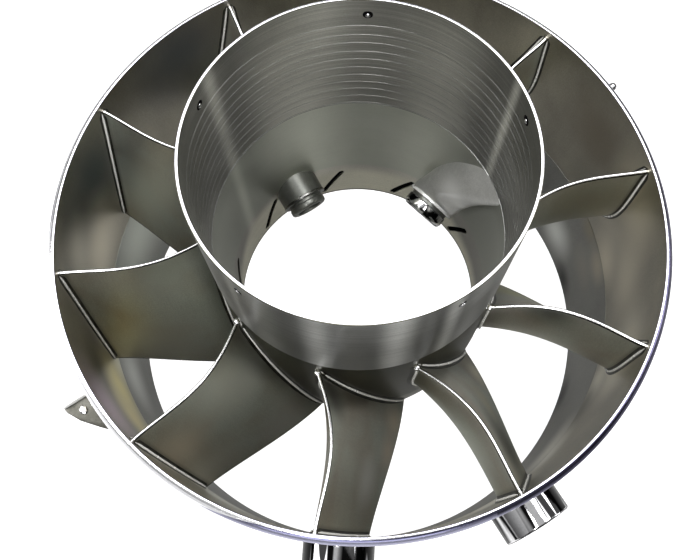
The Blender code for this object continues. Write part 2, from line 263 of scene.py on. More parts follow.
def vectorMaths(tree, operation, a, b=(0, 0, 0), outlet="Vector"):
    return node(tree, "ShaderNodeVectorMath", {0: a, 1: b}, operation=operation).outputs[outlet]


def timesTone(tree, colour, tone):
    return mixed(tree, 1.0, colour, combine(tree, tone, tone, tone), "MULTIPLY")


def turnOf(tree, parts):
    # radians round the flow axis
    return maths(tree, "ARCTAN2", parts["Y"], parts["X"])


def steel(name, look, extra=None):
    # satin or polished steel: clouds of tone, brushing along one direction and fine grain
    material = bpy.data.materials.new(name)
    material.use_nodes = True
    tree = material.node_tree
    shader = tree.nodes["Principled BSDF"]
    coordinates = node(tree, "ShaderNodeTexCoord")
    place = mapping(tree, coordinates.outputs["Object"], location=tuple(-flowAxis))
    if look["followsVane"]:
        number = node(tree, "ShaderNodeAttribute", attribute_name="number").outputs["Fac"]
        run = vectorMaths(tree, "ADD", coordinates.outputs["UV"], combine(tree, number, number, number))
    else:
        run = place
    clouds = noise(tree, place, look["cloudScale"], 3.0, 0.55, 0.3)
    share = ranged(tree, clouds, 0.36, 0.64)
    brushing = noise(tree, mapping(tree, run, look["brushScale"]), 1.0, 3.0, 0.6)
    grain = noise(tree, place, look["grainScale"], 2.0, 0.6)
    colour = mixed(tree, share, (*look["dark"], 1), (*look["light"], 1))
    streak = ranged(tree, brushing, 0.3, 0.7, 1 - look["streak"], 1 + look["streak"])
    speck = ranged(tree, grain, 0.3, 0.7, 1 - look["speck"], 1 + look["speck"])
    colour = timesTone(tree, colour, maths(tree, "MULTIPLY", streak, speck))
    if extra:
        colour = extra(tree, place, colour)
    tree.links.new(colour, shader.inputs["Base Color"])
    sheen = maths(tree, "MULTIPLY_ADD", brushing, look["roughnessRange"], look["roughness"] - look["roughnessRange"] / 2)
    sheen = maths(tree, "MULTIPLY_ADD", share, look["roughnessRange"] * 0.5, sheen)
    tree.links.new(sheen, shader.inputs["Roughness"])
    relief = maths(tree, "MULTIPLY_ADD", grain, look["grainRelief"], brushing)
    bump = node(tree, "ShaderNodeBump", {"Height": relief, "Strength": look["bump"], "Distance": look["relief"]})
    tree.links.new(bump.outputs[0], shader.inputs["Normal"])
    shader.inputs["Metallic"].default_value = look["metallic"]
    shader.inputs["Specular IOR Level"].default_value = look["specular"]
    if look["anisotropic"]:
        shader.inputs["Anisotropic"].default_value = look["anisotropic"]
        shader.inputs["Anisotropic Rotation"].default_value = 0.25
        tangent = node(tree, "ShaderNodeTangent", direction_type="RADIAL", axis="Z")
        tree.links.new(tangent.outputs[0], shader.inputs["Tangent"])
    return material


# Materials

plainLook = dict(
    streak=0.04, speck=0.14, roughnessRange=0.08, relief=0.0002, grainRelief=0.8,
    metallic=1.0, specular=0.5, anisotropic=0.0, followsVane=False,
)
vaneLook = dict(
    plainLook, dark=(0.50, 0.46, 0.38), light=(0.60, 0.635, 0.565), cloudScale=16, brushScale=(40, 700, 1),
    followsVane=True, grainScale=1400, roughness=0.36, roughnessRange=0.10, bump=0.12,
)
casingLook = dict(
    plainLook, dark=(0.31, 0.292, 0.240), light=(0.48, 0.452, 0.375), cloudScale=9, brushScale=(60, 60, 14),
    grainScale=1300, streak=0.08, speck=0.16, roughness=0.34, roughnessRange=0.10, bump=0.2, grainRelief=0.9,
)
tailLook = dict(casingLook, dark=(0.24, 0.24, 0.225), light=(0.32, 0.32, 0.30), roughness=0.32)
hubLook = dict(
    plainLook, dark=(0.29, 0.295, 0.285), light=(0.36, 0.365, 0.355), cloudScale=11, brushScale=(5, 5, 1500),
    grainScale=1600, streak=0.16, speck=0.12, roughness=0.30, bump=0.3, grainRelief=0.5, anisotropic=0.85,
)
socketLook = dict(
    plainLook, dark=(0.27, 0.27, 0.26), light=(0.36, 0.36, 0.35), cloudScale=30, brushScale=(300, 300, 300),
    grainScale=1500, streak=0.06, speck=0.10, roughness=0.26, bump=0.15,
)
edgeLook = dict(
    plainLook, dark=(0.62, 0.62, 0.63), light=(0.70, 0.70, 0.70), cloudScale=60, brushScale=(400, 400, 400),
    grainScale=1500, speck=0.04, roughness=0.17, roughnessRange=0.10, bump=0.12,
)
chromeLook = dict(
    edgeLook, dark=(0.86, 0.86, 0.88), light=(0.93, 0.93, 0.94), roughness=0.05, roughnessRange=0.03, bump=0.04,
)
hubBoreLook = dict(hubLook, dark=(0.235, 0.233, 0.208), light=(0.305, 0.302, 0.270), streak=0.22)
hubSmoothLook = dict(hubLook, dark=(0.238, 0.246, 0.212), light=(0.278, 0.286, 0.250), streak=0.03, speck=0.05, bump=0.1)
hubBandLook = dict(hubLook, streak=0.26, dark=(0.27, 0.272, 0.26), light=(0.33, 0.333, 0.32))
ledgeLook = dict(hubLook, roughness=0.34, anisotropic=0.0)
ringLook = dict(hubLook, dark=(0.18, 0.18, 0.172), light=(0.23, 0.23, 0.222), roughness=0.36)
khakiLook = dict(hubLook, dark=(0.62, 0.60, 0.50), light=(0.74, 0.72, 0.60), anisotropic=0.0, roughness=0.33, streak=0.05)
# painted shade for the hub's outside between the vanes and for the roundings beside its top edge
hubShadeLook = dict(hubLook, dark=(0.075, 0.075, 0.06), light=(0.11, 0.108, 0.08), anisotropic=0.0)
hubEdgeLook = dict(edgeLook, dark=(0.40, 0.40, 0.44), light=(0.46, 0.46, 0.50))
rimLook = dict(edgeLook, dark=(0.05, 0.047, 0.08), light=(0.08, 0.075, 0.12), roughness=0.16)
# a less metallic copy of the rim steel that shows lighter under the lamps: painted light on the front slope
litFrontRimLook = dict(rimLook, metallic=0.72)
weldLook = dict(
    plainLook, dark=(0.42, 0.42, 0.40), light=(0.62, 0.62, 0.60), cloudScale=90, brushScale=(500, 500, 500),
    grainScale=1200, streak=0.10, speck=0.15, roughness=0.26, roughnessRange=0.16, bump=0.5,
    relief=0.0004, grainRelief=0.6,
)
# darkened weld steel: painted shade in the corners at the vane roots
rootShadeLook = dict(weldLook, dark=(0.05, 0.049, 0.042), light=(0.09, 0.088, 0.078), bump=0.1, roughness=0.35)
beadHighlightLook = dict(edgeLook, dark=(0.86, 0.86, 0.83), light=(0.94, 0.94, 0.91), roughness=0.22, metallic=0.5)
hoodLook = dict(socketLook, dark=(0.62, 0.62, 0.60), light=(0.70, 0.70, 0.68), roughness=0.30, bump=0.02, metallic=0.74)
noseLook = dict(chromeLook, metallic=0.9)
# a half-matt copy of the polished edge that the lamps light bright all round: a painted highlight on the right collar;
# also the lug plate's steel
collarLook = dict(edgeLook, dark=(0.86, 0.86, 0.85), light=(0.94, 0.94, 0.93), metallic=0.3)
darkSocketLook = dict(
    socketLook, dark=(0.19, 0.195, 0.18), light=(0.25, 0.255, 0.235), roughness=0.34, bump=0.05, metallic=0.7,
)
# black put where there is only shade, as painted shade: inside the slots, at the bottom of the socket bores, in the pin
# countersinks and along the vane edges
shadeBlackLook = dict(
    socketLook, dark=(0.002, 0.002, 0.002), light=(0.004, 0.004, 0.004), roughness=0.9, metallic=0.0, specular=0.0,
)

wallRadius = 0.197      # the casing wall's mean radius, for the spots on it


def paintedLightSpots(spots):
    # soft clouds of painted light and painted shade in another colour, each (turn in degrees, height, reach, colour,
    # share) and a radius last if off the wall
    def shade(tree, place, colour):
        for turn, height, reach, tint, share, *radius in spots:
            turn, radius = math.radians(turn), (radius or [wallRadius])[0]
            middle = (radius * math.cos(turn), radius * math.sin(turn), height)
            far = vectorMaths(tree, "DISTANCE", place, middle, "Value")
            colour = mixed(tree, ranged(tree, far, reach, 0.0, 0.0, share, soft=True), colour, (*tint, 1))
        return colour
    return shade


# painted light and painted shade on the casing wall: beige, violet and yellow pools of painted reflection, dark painted
# shadow where a vane shades it
wallLightAndShadeSpots = [
    (132, 0.200, 0.075, (0.205, 0.215, 0.245), 0.90),
    (166, 0.188, 0.060, (0.13, 0.145, 0.155), 0.90),
    (174, 0.178, 0.030, (0.18, 0.18, 0.165), 0.75),
    (178, 0.205, 0.024, (0.24, 0.24, 0.23), 0.70),
    (176, 0.140, 0.054, (0.96, 0.89, 0.73), 0.92),
    (-178, 0.182, 0.032, (0.80, 0.76, 0.64), 0.80),
    (-154, 0.172, 0.030, (0.18, 0.16, 0.11), 0.70),
    (-158, 0.110, 0.024, (0.90, 0.88, 0.74), 0.80),
    (-151, 0.132, 0.044, (1.00, 0.90, 0.46), 0.95),
    (-143, 0.142, 0.040, (0.94, 0.84, 0.48), 0.90),
    (-143, 0.204, 0.046, (0.76, 0.62, 0.72), 0.95),
    (26, 0.180, 0.055, (0.22, 0.19, 0.145), 0.80),
    (23, 0.120, 0.035, (0.24, 0.23, 0.18), 0.70),
    (7, 0.190, 0.055, (0.84, 0.77, 0.60), 0.85),
    (8, 0.133, 0.030, (0.62, 0.58, 0.48), 0.70),
    (-4, 0.150, 0.050, (0.80, 0.74, 0.60), 0.85),
    (-22, 0.165, 0.050, (1.00, 0.95, 0.80), 0.90),
    (-26, 0.120, 0.026, (1.00, 0.96, 0.82), 0.90),
    (-31, 0.114, 0.030, (0.20, 0.19, 0.155), 0.90),
    (4, 0.112, 0.030, (0.86, 0.79, 0.64), 0.85),
    (-44, 0.108, 0.036, (0.95, 0.93, 0.85), 0.85),
    (-61, 0.130, 0.046, (1.00, 0.97, 0.86), 0.90),
    (-119, 0.125, 0.042, (0.85, 0.86, 0.78), 0.88),
]
# painted light and painted shade on the tail band: pale pools of painted reflection and near-black painted shadow
tailLightAndShadeSpots = [
    (22, 0.035, 0.036, (0.95, 0.97, 0.93), 0.92),
    (11, 0.008, 0.024, (0.02, 0.02, 0.02), 0.95),
    (8, 0.062, 0.030, (0.44, 0.42, 0.37), 0.80),
    (14, 0.100, 0.022, (0.40, 0.36, 0.27), 0.80),
    (165, 0.075, 0.070, (0.82, 0.86, 0.78), 0.92),
    (-158, 0.070, 0.046, (0.78, 0.80, 0.76), 0.92),
    (-22, 0.012, 0.024, (0.02, 0.02, 0.02), 0.95),
    (5, 0.094, 0.024, (0.62, 0.57, 0.46), 0.80),
    (-42, 0.092, 0.046, (0.90, 0.88, 0.80), 0.92),
]


def paintedHighlightStripes(level, bumps):
    # painted highlights: lighter stripes along the axis where strip lamps would reflect, on a darker level; every bump
    # is (middle in degrees round the axis, reach, gain)
    def shade(tree, place, colour):
        turn = maths(tree, "DEGREES", turnOf(tree, separate(tree, place)))
        tone = level
        for middle, reach, gain in bumps:
            away = maths(tree, "ABSOLUTE", maths(tree, "SUBTRACT", turn, middle))
            tone = maths(tree, "ADD", ranged(tree, away, reach, 0.0, 0.0, gain, soft=True), tone)
        return timesTone(tree, colour, tone)
    return shade


# painted light and painted shade on the hollow and on the rounded faces, with the distance from the axis last
hollowLightAndShadeSpots = [
    (228, 0.190, 0.050, (0.86, 0.89, 0.80), 0.90, 0.138),
    (231, 0.174, 0.032, (0.80, 0.83, 0.77), 0.85, 0.116),
    (230, 0.175, 0.036, (0.80, 0.71, 0.58), 0.85, 0.184),
    (236, 0.130, 0.040, (0.68, 0.66, 0.58), 0.80, 0.180),
    (244, 0.112, 0.034, (0.70, 0.70, 0.64), 0.80, 0.125),
    (262, 0.196, 0.024, (0.16, 0.16, 0.14), 0.85, 0.114),
    (272, 0.142, 0.026, (0.82, 0.82, 0.78), 0.85, 0.161),
    (284, 0.108, 0.022, (0.88, 0.78, 0.62), 0.85, 0.116),
    (279, 0.112, 0.022, (0.82, 0.72, 0.60), 0.85, 0.138),
    (308, 0.150, 0.056, (0.14, 0.14, 0.105), 0.92, 0.176),
    (320, 0.108, 0.022, (0.95, 0.92, 0.74), 0.90, 0.116),
    (311, 0.136, 0.026, (0.62, 0.60, 0.46), 0.80, 0.138),
    (351, 0.120, 0.034, (0.66, 0.66, 0.40), 0.85, 0.116),
    (160, 0.155, 0.066, (0.70, 0.77, 0.74), 0.92, 0.172),
    (193, 0.202, 0.040, (0.36, 0.38, 0.32), 0.75, 0.136),
    (202, 0.122, 0.056, (0.74, 0.74, 0.66), 0.85, 0.155),
]
roundedLightAndShadeSpots = [
    (300, 0.155, 0.062, (0.92, 0.96, 0.86), 0.90, 0.166),
    (337, 0.142, 0.050, (0.95, 0.97, 0.84), 0.90, 0.148),
    (336, 0.203, 0.026, (0.14, 0.15, 0.13), 0.85, 0.139),
    (12, 0.185, 0.060, (0.30, 0.29, 0.22), 0.85, 0.165),
    (19, 0.115, 0.034, (0.14, 0.15, 0.11), 0.90, 0.157),
]
# painted highlights on the hood
hoodHighlightSpots = [
    (36, 0.160, 0.022, (0.96, 0.96, 0.94), 0.95, 0.088),
    (44, 0.112, 0.024, (0.92, 0.92, 0.90), 0.90, 0.084),
    (28, 0.150, 0.010, (0.96, 0.96, 0.93), 0.90, 0.092),
]

# each line of painted shade runs from one distance to another, starts at a tone and ends at full brightness
vaneShadeLines = dict(
    roundedShift=0.3, roundedExtra=0.0016, leading=(0.0012, 0.0020, 0.05), trailing=(0.1240, 0.1230, 0.15),
    casingEnd=(0.0965, 0.0915, 0.45), hubEnd=(0.0, 0.020, 0.55),
)


def vaneShade(tree, place, colour):
    # painted shade: darker where the vane runs into its welds and in thin lines along both edges, over spots of painted
    # light and shade; UV runs along and across the vane, and the rounded face has its UV shifted so that it can be told
    # from the hollow one
    parts = separate(tree, node(tree, "ShaderNodeTexCoord").outputs["UV"])
    shift = vaneShadeLines["roundedShift"]
    rounded = maths(tree, "GREATER_THAN", parts["X"], shift - 0.1)
    tinted = [paintedLightSpots(spots)(tree, place, colour) for spots in (hollowLightAndShadeSpots, roundedLightAndShadeSpots)]
    colour = mixed(tree, rounded, *tinted)
    flow = maths(tree, "SUBTRACT", parts["X"], maths(tree, "MULTIPLY", rounded, shift))
    fromEdge = maths(tree, "SUBTRACT", flow, maths(tree, "MULTIPLY", rounded, vaneShadeLines["roundedExtra"]))
    tone = 1.0
    for key, value in (("leading", fromEdge), ("trailing", flow), ("casingEnd", parts["Y"]), ("hubEnd", parts["Y"])):
        start, end, darkest = vaneShadeLines[key]
        tone = maths(tree, "MULTIPLY", ranged(tree, value, start, end, darkest, 1.0, soft=key.endswith("End")), tone)
    return timesTone(tree, colour, tone)


def tailShade(tree, place, colour):
    # from the bore's grey, carrying the smooth wall's painted highlight stripes, to khaki on the way down, later on
    # both sides of the middle, with a dark line at the foot
    parts = separate(tree, place)
    middle, sideDrop = 100, 0.020
    aside = maths(tree, "ABSOLUTE", maths(tree, "SUBTRACT", maths(tree, "DEGREES", turnOf(tree, parts)), middle))
    height = maths(tree, "ADD", parts["Z"], ranged(tree, aside, 45, 80, 0.0, sideDrop, soft=True))
    upper = paintedHighlightStripes(1.0, smoothHighlightStripes)(tree, place, mixed(tree, 1.0, colour, (0.42, 0.42, 0.45, 1), "MULTIPLY"))
    colour = mixed(tree, ranged(tree, height, 0.112, 0.096, soft=True), upper, colour)
    return timesTone(tree, colour, ranged(tree, parts["Z"], 0.0748, 0.0756, 0.25, 1.0))


def paintedReflectionBands(low, high):
    # painted reflections: the strong black and white stripes that a mirror finish shows in a dark room with bright
    # panels, painted into the colour by the way each face points
    def shade(tree, place, colour):
        normal = node(tree, "ShaderNodeTexCoord").outputs["Normal"]
        bands = noise(tree, mapping(tree, normal, (2.6, 2.6, 3.4)), 1.0, 1.0, 0.5, 0.6)
        return timesTone(tree, colour, ranged(tree, bands, low, high, 0.010, 1.0))
    return shade


rimBands = dict(
    inner=(0.2003, 0.2005), brightTo=0.2028, leftward=0.0009, far=0.0006, near=-0.0012, soft=0.0003,
    wideTurn=-143, wideExtra=0.003, slope=(0.2026, 0.2040), frontTurns=(-172, -66),
    paintedHighlight=(0.88, 0.88, 0.90, 1), shadow=(0.08, 0.08, 0.13, 1), violet=(0.37, 0.37, 0.48, 1),
)


def rimShade(tree, place, colour):
    # painted highlight on the flat top, wider towards the left and the far side; painted shade keeps the rolled slope
    # dark, with a painted violet reflection in front
    bands = rimBands
    parts = separate(tree, place)
    turn = turnOf(tree, parts)
    radius = vectorMaths(tree, "LENGTH", combine(tree, parts["X"], parts["Y"]), outlet="Value")
    front = maths(tree, "SINE", turn)
    slope = mixed(tree, ranged(tree, radius, *bands["slope"]), bands["shadow"], bands["violet"])
    rolled = mixed(tree, ranged(tree, front, -0.80, -0.97), colour, slope)
    edge = maths(tree, "MULTIPLY_ADD", maths(tree, "COSINE", turn), -bands["leftward"], bands["brightTo"])
    edge = maths(tree, "ADD", edge, ranged(tree, front, 1.0, -1.0, bands["far"], bands["near"]))
    towards = maths(tree, "COSINE", maths(tree, "SUBTRACT", turn, math.radians(bands["wideTurn"])))
    edge = maths(tree, "ADD", edge, ranged(tree, towards, 0.80, 0.90, 0.0, bands["wideExtra"]))
    bright = ranged(tree, radius, edge, maths(tree, "SUBTRACT", edge, bands["soft"]))
    inside = ranged(tree, radius, *bands["inner"])
    return mixed(tree, maths(tree, "MULTIPLY", bright, inside), rolled, bands["paintedHighlight"])


# painted highlight stripes on the bore, on the smooth wall below it and on the outer band; the rings and the ledge get
# theirs below
boreHighlightStripes = [(25, 3.5, 1.2), (58, 24, 1.3), (85, 35, 0.4), (116, 30, 1.8), (151.5, 5, 0.8), (150, 12, 0.2)]
smoothHighlightStripes = [(58, 24, 1.0), (85, 40, 0.5), (116, 30, 1.7), (152, 5, 0.6), (150, 12, 0.2)]
bandHighlightStripes = [(-132, 4, 0.5), (-122, 10, 0.5), (-103, 7, 0.9), (-77, 8, 1.2), (-59, 5, 1.2), (-50, 9, 0.4)]
vaneSteel = steel("vaneSteel", vaneLook, vaneShade)
casingSteel = steel("casingSteel", casingLook, paintedLightSpots(wallLightAndShadeSpots))
tailSteel = steel("tailSteel", tailLook, paintedLightSpots(tailLightAndShadeSpots))
outerSteel = steel("outerSteel", casingLook)
outerTailSteel = steel("outerTailSteel", tailLook)
hubBoreSteel = steel("hubBoreSteel", hubBoreLook, paintedHighlightStripes(0.5, boreHighlightStripes))
hubSmoothSteel = steel("hubSmoothSteel", hubSmoothLook, paintedHighlightStripes(1.0, smoothHighlightStripes))
hubBandSteel = steel("hubBandSteel", hubBandLook, paintedHighlightStripes(0.55, bandHighlightStripes))
ringSteel = steel("ringSteel", ringLook, paintedHighlightStripes(0.52, [(100, 62, 1.1)]))
tailKhaki = steel("tailKhaki", khakiLook, tailShade)
hubShadeSteel = steel("hubShadeSteel", hubShadeLook)
hubEdgeSteel = steel("hubEdgeSteel", hubEdgeLook)
ledgeSteel = steel("ledgeSteel", ledgeLook, paintedHighlightStripes(0.35, [(20, 50, 1.6), (100, 40, 0.3)]))
socketSteel = steel("socketSteel", socketLook)
polishedEdge = steel("polishedEdge", edgeLook)
mirrorSteel = steel("mirrorSteel", chromeLook)
bandedChrome = steel("bandedChrome", chromeLook, paintedReflectionBands(0.52, 0.60))
darkChrome = steel("darkChrome", chromeLook, paintedReflectionBands(0.58, 0.66))
rimSteel = steel("rimSteel", rimLook, rimShade)
litFrontRimSteel = steel("litFrontRimSteel", litFrontRimLook, rimShade)
weldSteel = steel("weldSteel", weldLook)
rootSteel = steel("rootSteel", rootShadeLook)
beadHighlightSteel = steel("beadHighlightSteel", beadHighlightLook)
hoodSteel = steel("hoodSteel", hoodLook, paintedLightSpots(hoodHighlightSpots))
noseSteel = steel("noseSteel", noseLook, paintedReflectionBands(0.46, 0.55))
collarSteel = steel("collarSteel", collarLook)
darkSocketSteel = steel("darkSocketSteel", darkSocketLook)
paintedShadeBlack = steel("paintedShadeBlack", shadeBlackLook)
print("materials made")


# Geometry Nodes

def geometryTree(name, inputs):
    tree = bpy.data.node_groups.new(name, "GeometryNodeTree")
    tree.interface.new_socket("Geometry", in_out="INPUT", socket_type="NodeSocketGeometry")
    for label, kind in inputs.items():
        tree.interface.new_socket(label, in_out="INPUT", socket_type="NodeSocket" + kind)
    tree.interface.new_socket("Geometry", in_out="OUTPUT", socket_type="NodeSocketGeometry")
    return tree, tree.nodes.new("NodeGroupInput").outputs


def withSteel(tree, geometry, steelInput, chosen=True):
    inputs = {"Geometry": geometry, "Selection": chosen, "Material": steelInput}
    return node(tree, "GeometryNodeSetMaterial", inputs).outputs[0]


def endTree(tree, geometry, steelInput=None):
    # realized, smooth and in its steel, unless the tree has set that already, and then out
    if steelInput:
        solid = node(tree, "GeometryNodeRealizeInstances", {0: geometry})
        smooth = node(tree, "GeometryNodeSetShadeSmooth", {"Geometry": solid.outputs[0]})
        geometry = withSteel(tree, smooth.outputs[0], steelInput)
    outlet = tree.nodes.new("NodeGroupOutput")
    tree.links.new(geometry, outlet.inputs[0])
    return tree


def pointLine(tree, count, start, offset):
    inputs = {"Count": count, "Start Location": start, "Offset": offset}
    return node(tree, "GeometryNodeMeshLine", inputs, mode="OFFSET").outputs[0]


def circleCurve(tree, resolution, radius):
    inputs = {"Resolution": resolution, "Radius": radius}
    return node(tree, "GeometryNodeCurvePrimitiveCircle", inputs, mode="RADIUS").outputs[0]


def grown(name, tree, values, mesh=None):
    # the mesh that a tree makes from its named inputs
    obj = link(bpy.data.objects.new(name, mesh or bpy.data.meshes.new(name)))
    modifier = obj.modifiers.new("grow", "NODES")
    modifier.node_group = tree
    for item in tree.interface.items_tree:
        if item.item_type == "SOCKET" and item.in_out == "INPUT" and item.name in values:
            modifier[item.identifier] = values[item.name]
    return plainMesh(obj)


def repeatTree():
    # copies of one mesh round the flow axis, each numbered; faces marked as edge, or as a line of painted shade, get
    # another steel
    tree, inlet = geometryTree("repeatRoundAxis", {
        "Count": "Int", "First Turn": "Float", "Centre": "Vector",
        "Main Steel": "Material", "Edge Steel": "Material", "Shade Line Steel": "Material",
    })
    points = pointLine(tree, inlet["Count"], inlet["Centre"], (0, 0, 0))
    index = node(tree, "GeometryNodeInputIndex").outputs[0]
    pitch = maths(tree, "DIVIDE", 2 * math.pi, inlet["Count"])
    turn = maths(tree, "MULTIPLY_ADD", index, pitch, inlet["First Turn"])
    inputs = {"Points": points, "Instance": inlet["Geometry"], "Rotation": combine(tree, z=turn)}
    copies = node(tree, "GeometryNodeInstanceOnPoints", inputs)
    inputs = {"Geometry": copies.outputs[0], "Name": "number"}
    store = node(tree, "GeometryNodeStoreNamedAttribute", inputs, data_type="FLOAT", domain="INSTANCE")
    tree.links.new(index, enabled(store.inputs, "Value"))
    solid = node(tree, "GeometryNodeRealizeInstances", {0: store.outputs[0]})
    geometry = withSteel(tree, solid.outputs[0], inlet["Main Steel"])
    for mark, steelName in (("edge", "Edge Steel"), ("line", "Shade Line Steel")):
        marked = node(tree, "GeometryNodeInputNamedAttribute", {"Name": mark}, data_type="BOOLEAN")
        geometry = withSteel(tree, geometry, inlet[steelName], enabled(marked.outputs, "Attribute"))
    return endTree(tree, geometry)


def ringsTree():
    # thin turned rings, one under the other, with slightly uneven spacing
    tree, inlet = geometryTree("turnedRings", {
        "Count": "Int", "Top": "Float", "Spacing": "Float", "Unevenness": "Float", "Radius": "Float",
        "Thickness": "Float", "Centre": "Vector", "Steel": "Material", "Seed": "Int",
    })
    start = vectorMaths(tree, "ADD", combine(tree, z=inlet["Top"]), inlet["Centre"])
    down = combine(tree, z=maths(tree, "MULTIPLY", inlet["Spacing"], -1.0))
    points = pointLine(tree, inlet["Count"], start, down)
    chance = node(tree, "FunctionNodeRandomValue", {"Seed": inlet["Seed"]}, data_type="FLOAT")
    lift = maths(tree, "SUBTRACT", enabled(chance.outputs, "Value"), 0.5)
    lift = maths(tree, "MULTIPLY", lift, inlet["Unevenness"])
    moved = node(tree, "GeometryNodeSetPosition", {"Geometry": points, "Offset": combine(tree, z=lift)})
    circle, section = circleCurve(tree, 256, inlet["Radius"]), circleCurve(tree, 6, inlet["Thickness"])
    ring = node(tree, "GeometryNodeCurveToMesh", {"Curve": circle, "Profile Curve": section})
    copies = node(tree, "GeometryNodeInstanceOnPoints", {"Points": moved.outputs[0], "Instance": ring.outputs[0]})
    return endTree(tree, copies.outputs[0], inlet["Steel"])


def beadTree():
    # a rippled weld bead along the edges of the mesh that it is given
    tree, inlet = geometryTree("weldBead", {"Radius": "Float", "Ripple": "Float", "Pitch": "Float", "Steel": "Material"})
    curve = node(tree, "GeometryNodeMeshToCurve", {"Mesh": inlet["Geometry"]})
    length = maths(tree, "DIVIDE", inlet["Pitch"], 6.0)
    even = node(tree, "GeometryNodeResampleCurve", {"Curve": curve.outputs[0], "Length": length}, mode="LENGTH")
    gone = node(tree, "GeometryNodeSplineParameter").outputs["Length"]
    wave = maths(tree, "SINE", maths(tree, "MULTIPLY", maths(tree, "DIVIDE", gone, inlet["Pitch"]), 2 * math.pi))
    swell = maths(tree, "MULTIPLY_ADD", wave, inlet["Ripple"], 1.0)
    wide = node(tree, "GeometryNodeSetCurveRadius", {"Curve": even.outputs[0], "Radius": swell})
    section = circleCurve(tree, 8, inlet["Radius"])
    bead = node(tree, "GeometryNodeCurveToMesh", {"Curve": wide.outputs[0], "Profile Curve": section, "Fill Caps": True})
    return endTree(tree, bead.outputs[0], inlet["Steel"])


repeatRound = repeatTree()
turnedRings = ringsTree()
weldBead = beadTree()


def addAround(name, mesh, count, first, steels, nodes=()):
    # copies of a mesh round the axis; its faces marked as edge or as a painted shade line take the second and the third
    # steel
    values = dict(zip(("Main Steel", "Edge Steel", "Shade Line Steel"), steels))
    values.update({"Count": count, "First Turn": math.radians(first), "Centre": flowAxis})
    addPiece(name, grown(name, repeatRound, values, mesh), None, nodes)


def addBead(name, loops, radius, ripple, pitch):
    # a weld bead along closed loops of points, which are joined by edges only
    points, edges = [], []
    for loop in loops:
        first = len(points)
        points += placed(onAxis, loop)
        edges += [(first + i, first + (i + 1) % len(loop)) for i in range(len(loop))]
    path = bpy.data.meshes.new(name)
    path.from_pydata(points, edges, [])
    values = {"Radius": radius, "Ripple": ripple, "Pitch": pitch, "Steel": weldSteel}
    addPiece(name, grown(name, weldBead, values, path), None)


# Casing

casing = dict(
    bore=0.200, height=0.224, tailHeight=0.104, bottomBore=0.1928, wall=0.0032,
    lipRadius=0.2052, lipHeight=0.0052, gap=0.0003, seam=0.00002, edgeWidth=0.0022, lipDrop=0.0030, lipDraft=0.0004,
    rimRounding=(0, 0.0004, 0.0016, 0.0018, 0.0008), upperRounding=(0, 0.0004, 0.0006, 0),
    tailRounding=(0.0004, 0.0008, 0.0008, 0.0006), girthBead=0.0016, girthStand=0.0002, girthRipple=0.10, beadPitch=0.004,
)


def casingBore(height):
    return casing["bottomBore"] + (casing["bore"] - casing["bottomBore"]) * height / casing["height"]


def outside(middles):
    # true for the faces on the outer half of the wall
    return fromAxis(middles) > casingBore(middles[:, 2]) + casing["wall"] / 2


def lipPick(middles):
    # the rim's own steel on top, the wall's steel inside and below, and on the slope in front a less metallic copy that
    # the lamps light brighter, as painted light
    radius, turn = fromAxis(middles), np.degrees(np.arctan2(middles[:, 1], middles[:, 0]))
    plain = (radius < casing["bore"] + 0.0001) | (middles[:, 2] < casing["height"] - casing["lipHeight"] + 0.0003)
    first, last = rimBands["frontTurns"]
    front = (radius > rimBands["slope"][0]) & (turn > first) & (turn < last)
    return np.where(plain, 1, np.where(front, 2, 0))


def addShell(name, top, foot, rounding, steels, nodes):
    # one length of the casing's conical wall
    wall, above, below = casing["wall"], casingBore(top), casingBore(foot)
    outline = [(above, top), (below, foot), (below + wall, foot), (above + wall, top)]
    addPiece(name, lathe(name, softened(outline, rounding)), steels, nodes, outside)


def makeCasing():
    top, bore, lip = casing["height"], casing["bore"], casing["lipRadius"]
    foot = top - casing["lipHeight"]
    edge = bore + casing["edgeWidth"]
    slope = (lip, top - casing["lipDrop"])
    rim = [(casingBore(foot), foot), (bore, top), (edge, top), slope, (lip - casing["lipDraft"], foot)]
    rim = lathe("rimRing", softened(rim, casing["rimRounding"], 6))
    steels = [rimSteel, casingSteel, litFrontRimSteel]
    addPiece("rimRing", rim, steels, ["casing_rim_ring"], lipPick)
    tail, steels = casing["tailHeight"], [casingSteel, outerSteel]
    addShell("upperShell", foot - casing["seam"], tail, casing["upperRounding"], steels, ["casing_barrel"])
    steels = [tailSteel, outerTailSteel]
    addShell("tailBand", tail - casing["gap"], 0, casing["tailRounding"], steels, ["casing_tail_band"])
    loop = circle(casingBore(tail) + casing["wall"] + casing["girthStand"], 240, tail)
    addBead("girthWeld", [loop], casing["girthBead"], casing["girthRipple"], casing["beadPitch"])
    print("casing made")


# Hub

hub = dict(
    top=0.3163, radius=0.1016, bore=0.0995, bandFoot=0.2195, tailTop=0.1130, foot=0.0738,
    bodyRadius=0.1012, bodyBore=0.0985, tailBore=0.0950, edge=0.0005, gap=0.0003,
    slotCount=10, slotTurns=(14.5, 25.5), slotHeights=(0.1035, 0.0765), slotWidth=0.0044,
    stripWiden=0.0008, pinCount=5, firstPin=87.2, pinHeight=0.3030, pinHole=0.0026, drillReach=0.010,
    ringCount=11, ringTop=0.2925, ringSpacing=0.0086, ringUnevenness=0.0008, ringThickness=0.00022, ringSeed=4,
    lastRingDrop=0.0004, stepHeight=0.2052, skirt=0.0006, seam=0.0001,
    ledgeDrop=0.0002, ledgeDepth=0.014, ledgeRounding=0.0060, slotCut=(-0.003, 0.006), stripDepths=(0.0011, 0.0016),
)


def tailWall(height, extra=0.0):
    # the tail's inner radius, which curls in towards the foot
    down = np.clip((hub["tailTop"] - height) / (hub["tailTop"] - hub["foot"]), 0, 1)
    return hub["bodyBore"] - (hub["bodyBore"] - hub["tailBore"]) * down ** 2 + extra


